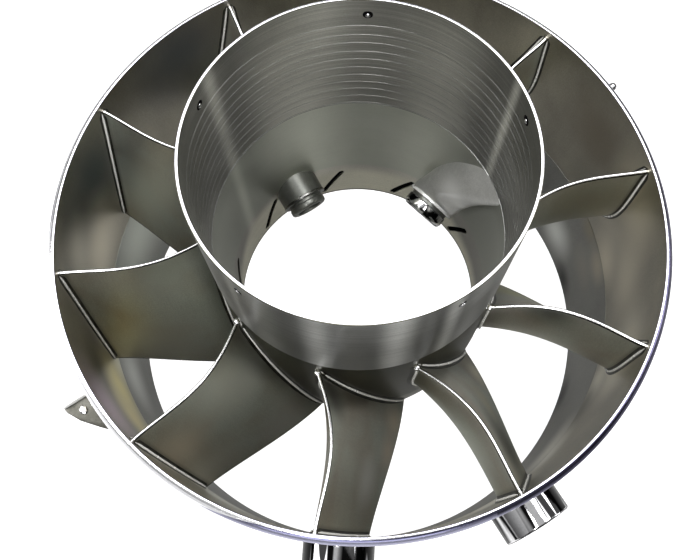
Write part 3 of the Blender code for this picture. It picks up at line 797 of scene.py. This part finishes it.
def hubOutside(height):
    # the outer radius of body and tail, on which the vanes stand
    return np.where(height > hub["tailTop"], hub["bodyRadius"], tailWall(height, hub["bodyRadius"] - hub["bodyBore"]))


def slotRibbon(depths, width):
    # a slanting slot with round ends that follows the tail's curled wall
    steps = 24
    share = np.linspace(0, 1, steps + 1)
    turn, height = np.radians(blend(hub["slotTurns"], share)), blend(hub["slotHeights"], share)
    run = np.array([(turn[-1] - turn[0]) * hub["bodyBore"], height[-1] - height[0]])
    length = np.linalg.norm(run)
    side = np.array([-run[1], run[0]]) / length          # across the slot, as (round, up)
    end = np.clip((np.abs(2 * share - 1) - (1 - width / length)) / (width / length), 0, 0.97)
    half = width / 2 * np.sqrt(1 - end ** 2)
    points = []
    for depth in depths:
        for way in (-1, 1):
            angle = turn + way * half * side[0] / hub["bodyBore"]
            level = height + way * half * side[1]
            points.append(polar(tailWall(level, depth), angle, level))
    nearLow, nearHigh, farLow, farHigh = points
    loops = np.stack([nearLow, nearHigh, farHigh, farLow], 1).reshape(-1, 3)
    return loops, cappedTube(steps + 1, 4)


def aroundAxis(name, points, faces, count, first):
    # one mesh of the same shape repeated by plain copying, for cutters
    allPoints, allFaces = [], []
    for number in range(count):
        angle = math.radians(first) + number * 2 * math.pi / count
        turn = np.array([[math.cos(angle), -math.sin(angle), 0], [math.sin(angle), math.cos(angle), 0], [0, 0, 1]])
        start = len(allPoints)
        allPoints += (np.array(points) @ turn.T).tolist()
        allFaces += [tuple(start + i for i in face) for face in faces]
    return meshFrom(name, allPoints, allFaces)


def ringPick(middles):
    # bore, outside band, the thin roundings beside the top edge darkened as painted shade, and that edge
    radius, height = fromAxis(middles), middles[:, 2]
    kind = np.where(radius > hub["radius"] - 0.0002, 1, 0)
    kind = np.where(height > hub["top"] - hub["edge"] * 0.95, 2, kind)
    flat = (height > hub["top"] - 0.0002) & (radius > hub["bore"] + 0.0005) & (radius < hub["radius"] - 0.0004)
    return np.where(flat, 3, kind)


def bodyPick(middles):
    # light inside, dark outside where the vanes stand, as painted shade
    return fromAxis(middles) > hub["bodyRadius"] - 0.0006


def frontRingMesh():
    # the turned ring in front, stepped inside at the foot and drilled for the pins
    edge, top, radius, bore = hub["edge"], hub["top"], hub["radius"], hub["bore"]
    foot, step, skirted = hub["bandFoot"], hub["stepHeight"], hub["bore"] + hub["skirt"]
    outline = [(bore, top), (bore, step), (skirted, step), (skirted, foot)]
    outline += [(radius, foot), (radius, top), (bore + edge + 0.0002, top)]
    ring = lathe("frontRing", softened(outline, [edge, 0.0002, 0, 0, 0.0004, edge, 0]))
    around, reach = 24, hub["drillReach"]
    hole = [*circle(hub["pinHole"], around, -reach), *circle(hub["pinHole"], around, reach)]
    hole = placed(outward(0.0, hub["pinHeight"], bore), hole)
    return cutAway(ring, aroundAxis("drills", hole, cappedTube(2, around), hub["pinCount"], hub["firstPin"]))


def bodyMesh():
    # a plain tube with a rounded ledge inside, under the front ring
    bore, radius, tail, seam = hub["bodyBore"], hub["bodyRadius"], hub["tailTop"], hub["seam"]
    top, ledge = hub["bandFoot"] - hub["gap"], hub["stepHeight"] - hub["ledgeDrop"]
    skirted = hub["bore"] + hub["skirt"] + seam
    outline = [(bore, ledge - hub["ledgeDepth"]), (bore, tail), (radius, tail), (radius, top)]
    outline += [(skirted, top), (skirted, ledge), (hub["bore"] + seam, ledge)]
    return lathe("hubBody", softened(outline, [hub["ledgeRounding"], 0, 0, 0.0004, 0, 0, 0]))


def slotRing(name, depths, width):
    return aroundAxis(name, *slotRibbon(depths, width), hub["slotCount"], vane["first"])


def tailMesh():
    # the curled tail with its slanting slots
    heights = np.linspace(hub["tailTop"] - casing["seam"], hub["foot"], 14)
    inner = [(float(tailWall(z)), z) for z in heights]
    outer = [(float(tailWall(z, hub["bodyRadius"] - hub["bodyBore"])), z) for z in heights[::-1]]
    return cutAway(lathe("hubTail", inner + outer), slotRing("slotCutters", hub["slotCut"], hub["slotWidth"]))


def makeHub():
    steels = [hubBoreSteel, hubBandSteel, hubShadeSteel, hubEdgeSteel]
    addPiece("frontRing", frontRingMesh(), steels, ["hub_front_ring"], ringPick)
    addPiece("hubBody", bodyMesh(), [hubSmoothSteel, hubShadeSteel], ["hub_body"], bodyPick)
    addPiece("hubTail", tailMesh(), [tailKhaki], ["hub_tail"])
    # black strips inside the tail's slots: painted shade
    strips = slotRing("slotShadeStrips", hub["stripDepths"], hub["slotWidth"] + hub["stripWiden"])
    addPiece("slotShadeStrips", strips, [paintedShadeBlack])
    values = {
        "Count": hub["ringCount"], "Top": hub["ringTop"], "Spacing": hub["ringSpacing"],
        "Unevenness": hub["ringUnevenness"], "Radius": hub["bore"] + hub["seam"], "Thickness": hub["ringThickness"],
        "Centre": flowAxis, "Steel": ringSteel, "Seed": hub["ringSeed"],
    }
    addPiece("turnedRings", grown("turnedRings", turnedRings, values), None)
    top = hub["stepHeight"] - hub["lastRingDrop"]
    values.update({"Count": 1, "Top": top, "Unevenness": 0.0, "Steel": ledgeSteel})
    addPiece("lastRing", grown("lastRing", turnedRings, values), None)
    print("hub made")


pin = dict(
    hole=0.0032, sunk=0.0002, seam=0.0001, depths=(0.0012, 0.0016), core=0.0016, drop=0.0007, crown=0.0009, deep=0.0028,
)


def makePins():
    # a countersink painted black as shade, with the small bright end of the pin low in it
    place = outward(0.0, hub["pinHeight"], hub["bore"])
    hole, sunk, core, crown = pin["hole"], pin["sunk"], pin["core"], pin["crown"]
    side, middle = pin["depths"]
    outline = [(0, -sunk), (hole * 0.8, -sunk), (hole, -pin["seam"]), (hole, side), (0, middle)]
    sink = lathe("sink", outline, 32, place)
    drop = place @ Matrix.Translation((pin["drop"], 0, 0))
    outline = [(0, -crown), (core * 0.6, -crown * 0.85), (core, -sunk), (core, pin["deep"]), (0, pin["deep"])]
    end = lathe("pinEnd", outline, 24, drop)
    shape = bmesh.new()
    shape.from_mesh(sink)
    darkFaces = len(shape.faces)
    shape.from_mesh(end)
    shape.to_mesh(sink)
    shape.free()
    marks = sink.attributes.new("edge", "BOOLEAN", "FACE")
    marks.data.foreach_set("value", [number < darkFaces for number in range(len(sink.polygons))])
    nodes = [f"hub_pin_{number + 1}" for number in range(hub["pinCount"])]
    addAround("hubPins", sink, hub["pinCount"], hub["firstPin"], (mirrorSteel, paintedShadeBlack), nodes)
    print("pins made")


# Vanes

vane = dict(
    count=10, first=119.2, edge=0.0020, seat=0.0005,
    swell=(0.243, 0.012, -0.098), swellPowers=(1.81, 1.41),
    hubHeights=(0.2036, 0.0932), casingHeights=(0.2186, 0.1160), hubTurn=(-0.137, 0.565, 0.059),
    casingTurn=0.165, roundedPower=6.0, hollowPower=1.1, bow=(0.339, -0.184), bowSkew=0.194, lift=(0.0097, 0.0063),
    chordSteps=44, spanSteps=30, noseSteps=6, chordLength=0.125, spanLength=0.098, overlap=0.012, sharp=50,
)


def bulge(along, across):
    # how far the rounded face swells out, as an angle, with its crest nearer the trailing edge
    front, back = vane["swellPowers"]
    crest = front / (front + back)
    along = np.clip(along, 0, 1)
    shape = (along / crest) ** front * ((1 - along) / (1 - crest)) ** back
    atHub, atCasing, between = vane["swell"]
    return shape * (blend((atHub, atCasing), across) + between * across * (1 - across))


def vanePoint(along, across, rounded=0):
    # along runs from leading to trailing edge, across from hub to casing; rounded is 1 for the outer, swollen face
    start, slope, cubic = vane["hubTurn"]
    hubTurn = start + slope * along + cubic * along ** 3
    casingTurn = vane["casingTurn"] * np.maximum(along, 0) ** vane["roundedPower" if rounded else "hollowPower"]
    arch = across * (1 - across)
    bow = blend(vane["bow"], along) + vane["bowSkew"] * (1 - along) * (1 - 2 * across)
    angle = blend((hubTurn, casingTurn), across) + bow * arch - rounded * bulge(along, across)
    heights = blend(vane["hubHeights"], along), blend(vane["casingHeights"], along)
    height = blend(heights, across) + blend(vane["lift"], along) * arch
    walls = hubOutside(height) + vane["seat"], casingBore(height) - vane["seat"]
    return polar(blend(walls, across), angle, height)


def vaneSide(along, across, side):
    # side 1 is the hollow face, -1 the rounded one; also gives the direction out of that face
    along, across = np.broadcast_arrays(along, across)
    small = 1e-4
    chordwise = vanePoint(along + small, across) - vanePoint(along - small, across)
    spanwise = vanePoint(along, across + small) - vanePoint(along, across - small)
    normal = unit(np.cross(spanwise, chordwise))
    return vanePoint(along, across, int(side < 0)) + side * vane["edge"] / 2 * normal, side * normal, unit(chordwise)


def vaneMesh():
    # rows of closed sections across the span; each is nose, hollow face, tail and rounded face
    across = np.linspace(-vane["overlap"], 1 + vane["overlap"], vane["spanSteps"] + 1)[:, None]
    tip = vane["edge"] / 2 / vane["chordLength"]
    even = np.linspace(0, 1, vane["chordSteps"] + 1)
    along = (tip + (1 - 2 * tip) * (even + 0.5 * (0.5 - 0.5 * np.cos(math.pi * even) - even)))[None, :]
    hollow, _, chordwise = vaneSide(along, across, 1)
    rounded, _, _ = vaneSide(along, across, -1)
    rows, columns = hollow.shape[:2]
    arcs = []
    for column, forward in ((0, -1), (columns - 1, 1)):
        middle = (hollow[:, column] + rounded[:, column]) / 2
        reach = np.linalg.norm(hollow[:, column] - rounded[:, column], axis=-1, keepdims=True) / 2
        sideways = unit(hollow[:, column] - rounded[:, column])
        steps = [math.pi * k / vane["noseSteps"] for k in range(1, vane["noseSteps"])]
        arc = [middle + reach * (math.cos(s) * sideways + math.sin(s) * forward * chordwise[:, column]) for s in steps]
        arcs.append(np.stack(arc, 1))
    nose, tail = arcs
    section = np.concatenate([nose[:, ::-1], hollow, tail, rounded[:, ::-1]], 1)
    count = section.shape[1]
    n, m = vane["noseSteps"] - 1, columns       # points round each edge, and along each face
    faces = tubeFaces(rows, count, closed=False)
    edgeFace = [i % count < n - 1 for i in range(len(faces))]
    dark = {n - 1, count - 1, count - 2, *range(n + m - 1, n + m + n)}     # painted shade lines beside the nose and round the trailing edge
    shadeLineFace = [i % count in dark for i in range(len(faces))]
    for first in (0, (rows - 1) * count):
        ladder = [(n + j, n + j + 1, count - 2 - j, count - 1 - j) for j in range(m - 1)]
        ladder += [(*range(n), n, count - 1), (*range(n + m, 2 * n + m), 2 * n + m, n + m - 1)]
        ladder = [tuple(first + i for i in face) for face in ladder]
        faces += ladder
        edgeFace += [False] * len(ladder)
        shadeLineFace += [False] * len(ladder)
    mesh = bpy.data.meshes.new("vaneShape")
    mesh.from_pydata(section.reshape(-1, 3).tolist(), [], faces)
    flow = np.concatenate([np.zeros(n), along[0], np.ones(n), along[0, ::-1]]) * vane["chordLength"]
    flow[-m:] += vaneShadeLines["roundedShift"]
    spread = np.repeat(across, count, 1) * vane["spanLength"]
    marks = np.stack([np.broadcast_to(flow, spread.shape), spread], -1).reshape(-1, 2)
    uvLayer = mesh.uv_layers.new(name="vaneRun")
    loops = np.empty(len(mesh.loops), np.int32)
    mesh.loops.foreach_get("vertex_index", loops)
    uvLayer.data.foreach_set("uv", marks[loops].astype(np.float32).ravel())
    for mark, chosen in (("edge", edgeFace), ("line", shadeLineFace)):
        mesh.attributes.new(mark, "BOOLEAN", "FACE").data.foreach_set("value", chosen)
    shape = bmesh.new()
    shape.from_mesh(mesh)
    bmesh.ops.recalc_face_normals(shape, faces=shape.faces)
    shape.to_mesh(mesh)
    shape.free()
    mesh.shade_smooth()
    mesh.set_sharp_from_angle(angle=math.radians(vane["sharp"]))
    return mesh


root = dict(
    widths=(0.0040, 0.0036), steps=60, curve=6, bend=0.14, sink=0.0007, climb=0.03,
    ends=(0.003, 0.997), fade=(0.04, 0.35), beads=(0.0010, 0.0009), crown=0.30, beadSides=8,
    beadEnds=(0.012, 0.990), beadFade=(0.07, 0.15), nubs=((0.012, 0.0022), (0.988, 0.0011)), nubAlong=0.004,
    nubSquash=(1, 1, 0.8),
)


def rootLine(side, across, ends, fade):
    # points where a face of the vane meets its wall, the ways out of and up that face, and how thin the ends get
    along = np.linspace(*ends, root["steps"] + 1)
    face, outOfFace, _ = vaneSide(along, across, side)
    further, _, _ = vaneSide(along, abs(across - root["climb"]), side)
    wall = casingBore(face[:, 2]) if across else hubOutside(face[:, 2])
    foot = np.concatenate([unit(face[:, :2]) * wall[:, None], face[:, 2:]], -1)
    share = np.clip(np.minimum(along, 1 - along) / fade[0], fade[1], 1)[:, None]
    return foot, outOfFace, unit(further - face), share


def filletStrip(side, across, width):
    # the hollow weld between one face of a vane and the wall it stands on, dark as painted shade in that corner
    base, outOfFace, climb, share = rootLine(side, across, root["ends"], root["fade"])
    out = unit(base * [1, 1, 0]) * (-1 if across else 1)
    away = unit(np.cross(unit(np.gradient(base, axis=0)), out))
    away *= np.sign(np.sum(away * outOfFace, -1, keepdims=True))
    reach = share * width
    points = [base - root["sink"] * (out + away), base + away * reach - root["sink"] * out]
    for s in np.linspace(0, 1, root["curve"] + 1):
        bend = (1 - s) ** 2 * away + s * s * climb + 2 * s * (1 - s) * root["bend"] * (away + climb)
        points.append(base + reach * bend)
    points.append(base + climb * reach - root["sink"] * away)
    loops = np.stack(points, 1)
    return loops.reshape(-1, 3).tolist(), cappedTube(*loops.shape[:2])


def beadLine(side, across, width):
    # the crown of the same weld, real metal made bright as a painted highlight
    middle, outOfFace, climb, share = rootLine(side, across, root["beadEnds"], root["beadFade"])
    middle += (unit(outOfFace) + climb) * width * root["crown"]
    run = unit(np.gradient(middle, axis=0))
    first = unit(np.cross(run, climb))
    second = np.cross(run, first)
    size = root["beads"][across] * share
    ring = circle(1.0, root["beadSides"])
    loops = np.stack([middle + size * (x * first + y * second) for x, y, _ in ring], 1)
    return loops.reshape(-1, 3).tolist(), cappedTube(*loops.shape[:2])


def nub(across, size):
    # a small rounded drop of weld metal at the vane's leading corner
    middle = vanePoint(np.array(root["nubAlong"]), np.array(across))
    ball = bmesh.new()
    bmesh.ops.create_icosphere(ball, subdivisions=2, radius=1.0)
    points = [tuple(middle[i] + size * root["nubSquash"][i] * vert.co[i] for i in range(3)) for vert in ball.verts]
    faces = [tuple(vert.index for vert in face.verts) for face in ball.faces]
    ball.free()
    return points, faces


def joined(name, shapes, sharp):
    points, faces = [], []
    for somePoints, someFaces in shapes:
        start = len(points)
        points += list(somePoints)
        faces += [tuple(start + i for i in face) for face in someFaces]
    return meshFrom(name, points, faces, Matrix.Identity(4), sharp)


def makeVanes():
    places = [(side, across, root["widths"][across]) for side in (1, -1) for across in (0, 1)]
    welds = joined("rootWelds", [filletStrip(*place) for place in places], 60)
    beads = joined("rootBeads", [beadLine(*place) for place in places], 60)
    nubs = joined("endNubs", [nub(*place) for place in root["nubs"]], 180)
    nodes = [f"vane_{number + 1:02d}" for number in range(vane["count"])]
    for name, mesh, mainSteel, slot, replaced in (
        ("guideVanes", vaneMesh(), vaneSteel, "vane_steel", nodes),
        ("rootWelds", welds, rootSteel, "vane_steel", ()),
        ("rootBeads", beads, beadHighlightSteel, "vane_steel", ()),
        ("endNubs", nubs, polishedEdge, "polished_edge", ()),
    ):
        addAround(name, mesh, vane["count"], vane["first"], (mainSteel, polishedEdge, paintedShadeBlack), replaced)
    print("vanes made")


# Sockets on the hub's inner wall

sockets = dict(
    names=("right", "left"), angles=(46, 122), heights=(0.1180, 0.0980), tilts=(21, 15), radii=(0.0205, 0.0185),
    noses=(0.0178, 0.0154), noseStarts=(-0.0040, 0.0), noseEnd=0.0055, noseRounding=(0.0012, 0.0050, 0.0012, 0),
    neckRadius=0.0168, neckClear=0.0006, bore=0.0105, reach=0.0760, step=0.008, plate=0.0024, rimRounding=0.0006,
    seam=0.0001, floor=(0.0085, 0.0125), floorInset=0.0002, rimBright=0.0007, bodyInset=0.0002, sunk=0.0012,
)
hood = dict(
    foot=0.0900, top=0.2052, angles=(50.6, -18.0, -13.6), halfWidth=(10.8, 2.4), blunt=0.35,
    softSide=0.6, softness=0.35, leaving=0.35, arriving=0.8, sunk=0.0010, inset=0.0004, rows=56, around=240,
)


def hoodEdge(turn):
    # where the hood meets the wall: a tall leaning loop that curls to the right as it climbs
    rise = 0.5 + 0.5 * math.sin(turn)
    height = blend((hood["foot"], hood["top"]), rise)
    middle = hood["angles"][0] + hood["angles"][1] * rise + hood["angles"][2] * rise ** 3
    blunt = math.copysign(abs(math.cos(turn)) ** hood["blunt"], math.cos(turn))
    angle = math.radians(middle + blunt * (hood["halfWidth"][0] + hood["halfWidth"][1] * rise))
    return polar(tailWall(height, hood["sunk"]), angle, height)


def hoodMesh(place, radius, start):
    # curves from the collar out to the wall, leaving along the socket's axis and running out softly on the left and above
    rows, around = hood["rows"], hood["around"]
    axis = zAxis(place)
    turns = [2 * math.pi * k / around for k in range(around)]
    near = np.array([place @ Vector((-radius * math.sin(turn), radius * math.cos(turn), start)) for turn in turns])
    far = np.array([hoodEdge(turn) for turn in turns])
    span = far - near
    length = np.linalg.norm(span, axis=1, keepdims=True)
    inward = unit(far * [1, 1, 0])
    flat = unit(span - inward * np.sum(span * inward, 1, keepdims=True))
    side = np.array([[0.5 + 0.5 * math.sin(turn + hood["softSide"])] for turn in turns]) * hood["softness"]
    leaving = axis * length * hood["leaving"]
    arriving = (unit(span) * (1 - side) + flat * side) * length * hood["arriving"]
    loops = []
    for s in np.linspace(0, 1, rows + 1):
        loops.append((2 * s ** 3 - 3 * s ** 2 + 1) * near + (s ** 3 - 2 * s ** 2 + s) * leaving
                     + (3 * s ** 2 - 2 * s ** 3) * far + (s ** 3 - s ** 2) * arriving)
    return meshFrom("hood", np.concatenate(loops).tolist(), cappedTube(rows + 1, around), sharp=60)


def rimPick(middles, place, radius):
    # the collar's outer edge is brighter than its face: on the right collar a painted highlight
    back = np.array(place.inverted())
    return fromAxis(middles @ back[:3, :3].T + back[:3, 3]) > radius - sockets["rimBright"]


def wallTube(place, radius, start):
    # a plain round body from the collar to the hub's inner wall
    around, direction = 96, zAxis(place)
    near = placed(place, circle(radius, around, start))
    far = [toWall(point, direction, lambda height: tailWall(height, sockets["sunk"]), 0.02) for point in near]
    return meshFrom("socketBody", near + far, cappedTube(2, around))


def makeSocket(number):
    keys = ("names", "angles", "heights", "tilts", "radii", "noses", "noseStarts")
    name, angle, height, tilt, radius, nose, start = (sockets[key][number] for key in keys)
    end, bore, step, plate, seam = (sockets[key] for key in ("noseEnd", "bore", "step", "plate", "seam"))
    place = outward(math.radians(angle), height, sockets["reach"], -math.radians(tilt))
    local = onAxis @ place
    outline = softened(band(bore, nose, start, end), sockets["noseRounding"], 8)
    steels = [(noseSteel, darkSocketSteel)[number]]
    addPiece(name + "SocketNose", lathe("nose", outline, 96, local), steels)
    neck = min(sockets["neckRadius"], nose - sockets["neckClear"])
    outline = band(bore, neck, end + seam, step - seam)
    addPiece(name + "SocketNeck", lathe("neck", outline, 96, local), [darkSocketSteel])
    # a black disc deep in the bore, as painted shade
    outline = softened(band(0, bore - sockets["floorInset"], *sockets["floor"]), [0, 0.0004, 0, 0])
    addPiece(name + "SocketFloor", lathe("boreFloor", outline, 64, local), [paintedShadeBlack])
    outline = softened(band(bore, radius, step, step + plate), [0, sockets["rimRounding"], sockets["rimRounding"], 0])
    steels, collar = [darkSocketSteel, (collarSteel, socketSteel)[number]], lathe("collar", outline, 128, local)
    addPiece(name + "SocketRim", collar, steels, [f"hub_socket_{number + 1}"],
             lambda middles: rimPick(middles, place, radius))
    return place, radius


def makeSockets():
    step, plate = sockets["step"], sockets["plate"]
    place, radius = makeSocket(0)
    mesh = hoodMesh(place, radius - hood["inset"], step + plate * 0.6)
    addPiece("hood", mesh, [hoodSteel])
    place, radius = makeSocket(1)
    mesh = wallTube(place, radius - sockets["bodyInset"], step + plate * 0.5)
    addPiece("leftSocketBody", mesh, [darkSocketSteel])
    print("sockets made")


# Service bosses under the rim

boss = dict(
    angles=(-58.1, -92.9), height=0.1640, radius=0.0232, bore=0.0185, reach=0.2230, inner=0.19, edge=0.0014, sunk=0.001,
    beadRadius=0.0014, beadOut=0.0004, beadStand=0.0002, beadRipple=0.12, beadPitch=0.0034, around=128,
)


def onCasing(point, direction, sink):
    return toWall(point, direction, lambda height: casingBore(height) + casing["wall"] - sink)


def makeBosses():
    around, edge, inner, reach = (boss[key] for key in ("around", "edge", "inner", "reach"))
    loops = []
    for number, degrees in enumerate(boss["angles"]):
        place = outward(math.radians(degrees), boss["height"])
        direction = zAxis(place)
        outline = [(boss["bore"], inner), (boss["bore"], reach), (boss["radius"], reach), (boss["radius"], inner)]
        outline = softened(outline, [0, edge * 0.6, edge, 0])
        local = turnedPoints(outline, around)
        points = [onCasing(point, direction, boss["sunk"]) if z < casing["bore"] else point
                  for point, z in zip(placed(place, local), local[:, 2])]
        name = f"serviceBoss{number + 1}"
        mesh = meshFrom(name, points, tubeFaces(around, len(outline)))
        steels = [(bandedChrome, darkChrome)[number]]
        addPiece(name, mesh, steels, [f"service_boss_{number + 1}"])
        loop = placed(place, circle(boss["radius"] + boss["beadOut"], around, inner))
        loops.append([onCasing(point, direction, -boss["beadStand"]) for point in loop])
    addBead("bossWelds", loops, boss["beadRadius"], boss["beadRipple"], boss["beadPitch"])
    print("bosses made")


# Side lug, its screw and the small stub pin

lug = dict(
    angle=213.3, turn=1, plate=0.0042, sunk=0.003, reach=0.0222, top=0.2060, depth=0.0400, footShare=0.55,
    rounding=0.005, bevel=0.0006, gusset=0.0030, gussetDrop=0.004, gussetBevel=0.0004,
    gussetEdge=((0.0012, 0.0), (0.0018, 0.0030), (0.0062, 0.0114), (0.0147, 0.0218)),    # in from tip, out from plate
    gussetRoot=((0.002, 0.0314), (-0.004, 0.0314)), screwSpot=(0.0138, 0.0072), screwHole=0.0018, screwHead=0.0026,
    headSteps=((1.0, 0.0003), (1.0, 0.0012), (0.82, 0.0018), (0.45, 0.0021), (0, 0.0021)),    # share of radius, height
    driverSlot=(0.0004, 0.004, 0.0012), driverDepth=0.002,
)
stub = dict(angle=31.2, height=0.2110, radius=0.0030, reach=0.2150, sunk=0.0008)


def slab(name, outline, thickness, place):
    points = [Vector(point) for point in outline] + [Vector(point) + Vector(thickness) for point in outline]
    return meshFrom(name, points, cappedTube(2, len(outline)), place)


def bevelled(mesh, width):
    obj = link(bpy.data.objects.new("work", mesh))
    step = obj.modifiers.new("edges", "BEVEL")
    step.width = width
    step.segments = 3
    step.limit_method = "ANGLE"
    step.angle_limit = math.radians(35)
    result = plainMesh(obj)
    result.shade_smooth()
    result.set_sharp_from_angle(angle=math.radians(35))
    return result


def makeLug():
    depth, top, half, rounding = lug["depth"], lug["top"], lug["plate"] / 2, lug["rounding"]
    rootRadius = casingBore(top) + casing["wall"] - lug["sunk"]
    place = Matrix.Rotation(math.radians(lug["angle"]), 4, "Z") @ Matrix.Translation((rootRadius, 0, 0))
    place = onAxis @ place @ Matrix.Rotation(math.radians(lug["turn"]), 4, "Z")
    tip = lug["reach"] + lug["sunk"]
    outline = [(0.0, top - depth), (0.0, top)]
    for turn in np.linspace(math.pi / 2, 0, 9):
        outline.append((tip - rounding + rounding * math.cos(turn), top - rounding + rounding * math.sin(turn)))
    outline.append((tip * lug["footShare"], top - depth))
    plate = slab("lugPlate", [(x, -half, z) for x, z in outline], (0, lug["plate"], 0), place)
    low, high, proud = -0.01, 0.234, 0.0022
    inside = [(0, low), (casingBore(low) + proud, low), (casingBore(high) + proud, high), (0, high)]
    plate = cutAway(bevelled(plate, lug["bevel"]), lathe("envelope", inside, 192))
    addPiece("lugPlate", plate, [collarSteel], ["lug_plate"])
    side, level, thick = half + casing["gap"], top - lug["gussetDrop"], lug["gusset"]
    corners = [(0.0, side)] + [(tip - back, side + out) for back, out in lug["gussetEdge"]]
    corners += [(x, side + out) for x, out in lug["gussetRoot"]]
    web = slab("lugGusset", [(x, y, level) for x, y in corners], (0, 0, -thick), place)
    web = cutAway(bevelled(web, lug["gussetBevel"]), lathe("envelope", inside, 192))
    along, across = lug["screwSpot"]
    spot = place @ Matrix.Translation((along, side + across, level))
    drill = lathe("drill", band(0, lug["screwHole"], -0.01, 0.01), 32, spot)
    addPiece("lugGusset", cutAway(web, drill), [rootSteel], ["lug_gusset"])
    hole, under = lug["screwHole"] - 0.0003, -thick - 0.001
    outline = [(0, under), (hole, under), (hole, lug["headSteps"][0][1])]
    outline += [(lug["screwHead"] * share, z) for share, z in lug["headSteps"]]
    cutter = slab("driverSlot", rectangle(*lug["driverSlot"]), (0, 0, lug["driverDepth"]), spot)
    screw = cutAway(lathe("lugScrew", outline, 32, spot, 30), cutter)
    addPiece("lugScrew", screw, [mirrorSteel], ["lug_screw"])


def makeStub():
    radius, reach = stub["radius"], stub["reach"]
    seat = casingBore(stub["height"]) + casing["wall"] - stub["sunk"]
    outline = [(0, seat), (radius, seat)]
    for turn in np.linspace(math.pi / 2, 0, 9):
        outline.append((radius * math.sin(turn), reach - radius * (1 - math.cos(turn))))
    place = onAxis @ outward(math.radians(stub["angle"]), stub["height"])
    addPiece("stubPin", lathe("stubPin", outline, 40, place), [bandedChrome], ["stub_pin"])
    print("lug and stub made")


makeCasing()
makeHub()
makePins()
makeVanes()
makeSockets()
makeBosses()
makeLug()
makeStub()


# Camera, floor and light

view = dict(
    place=(0, -0.20664512, 0.70216113), turn=(20.19, 0.99867, 0.92786), lens=40.86934, sensor=36.0,
    shift=(0.014276, -0.0074197), clip=(0.01, 60),
)
studio = dict(
    floorSize=8.0, floorHeight=-0.0006, floorColour=0.35, floorSeen=1.0, floorGlow=0.10,
    backdropSeen=0.93, horizon=0.10, zenith=0.45,
    lamps=[
        dict(name="overhead", place=(0, 0.60, 1.9), aim=(0, 0.10, 0.2), size=(2.0, 1.4), power=55),
        dict(name="leftPanel", place=(-1.7, 0.0, 1.3), aim=(0, 0, 0.2), size=(0.9, 1.8), power=30),
        dict(name="rightPanel", place=(1.7, 0.2, 1.3), aim=(0, 0, 0.2), size=(0.9, 1.8), power=30),
        dict(name="frontPanel", place=(0, -1.9, 1.0), aim=(0, 0, 0.2), size=(1.6, 0.8), power=24),
        dict(name="frontStrip", place=(-0.18, -1.03, 1.59), aim=(0, 0, 0.25), size=(0.16, 1.1), power=12),
        dict(name="rightStrip", place=(1.02, -0.22, 1.59), aim=(0, 0, 0.25), size=(0.20, 1.1), power=5),
        dict(name="leftStrip", place=(-1.05, 0.04, 1.59), aim=(0, 0, 0.25), size=(0.20, 1.1), power=5),
    ],
)


def makeCamera():
    camera = bpy.data.cameras.new("camera")
    camera.lens, camera.sensor_width = view["lens"], view["sensor"]
    camera.shift_x, camera.shift_y = view["shift"]
    camera.clip_start, camera.clip_end = view["clip"]
    holder = link(bpy.data.objects.new("camera", camera))
    holder.location = view["place"]
    holder.rotation_euler = [math.radians(angle) for angle in view["turn"]]
    bpy.context.scene.camera = holder


def seenShare(tree, plain, seen):
    # one value for the camera's own rays and another for all other light
    cameraRay = node(tree, "ShaderNodeLightPath").outputs["Is Camera Ray"]
    return node(tree, "ShaderNodeMix", {0: cameraRay, 2: plain, 3: seen}, data_type="FLOAT").outputs[0]


def makeFloor():
    mesh = bpy.data.meshes.new("floor")
    mesh.from_pydata(rectangle(studio["floorSize"], studio["floorSize"], studio["floorHeight"]), [], [(0, 1, 2, 3)])
    floor = link(bpy.data.objects.new("floor", mesh))
    pale = bpy.data.materials.new("paleFloor")
    pale.use_nodes = True
    tree = pale.node_tree
    shader = tree.nodes["Principled BSDF"]
    shader.inputs["Base Color"].default_value = (*[studio["floorColour"]] * 3, 1)
    shader.inputs["Roughness"].default_value = 0.8
    shader.inputs["Emission Color"].default_value = (1, 1, 1, 1)
    tree.links.new(seenShare(tree, studio["floorGlow"], studio["floorSeen"]), shader.inputs["Emission Strength"])
    mesh.materials.append(pale)


def makeSky():
    world = bpy.data.worlds.new("studio")
    world.use_nodes = True
    tree = world.node_tree
    background = tree.nodes["Background"]
    height = separate(tree, node(tree, "ShaderNodeTexCoord").outputs["Generated"])["Z"]
    sky = ranged(tree, height, 0.0, 0.9, studio["horizon"], studio["zenith"], soft=True)
    background.inputs[0].default_value = (1, 1, 1, 1)
    tree.links.new(seenShare(tree, sky, studio["backdropSeen"]), background.inputs[1])
    bpy.context.scene.world = world


def makeLamps():
    for lamp in studio["lamps"]:
        light = bpy.data.lights.new(lamp["name"], "AREA")
        light.shape = "RECTANGLE"
        light.size, light.size_y = lamp["size"]
        light.energy = lamp["power"]
        obj = link(bpy.data.objects.new(lamp["name"], light))
        obj.location = lamp["place"]
        obj.rotation_euler = (Vector(lamp["aim"]) - Vector(lamp["place"])).to_track_quat("-Z", "Y").to_euler()


makeCamera()
makeFloor()
makeSky()
makeLamps()
bpy.context.scene.view_settings.view_transform = "Standard"
print("studio made")
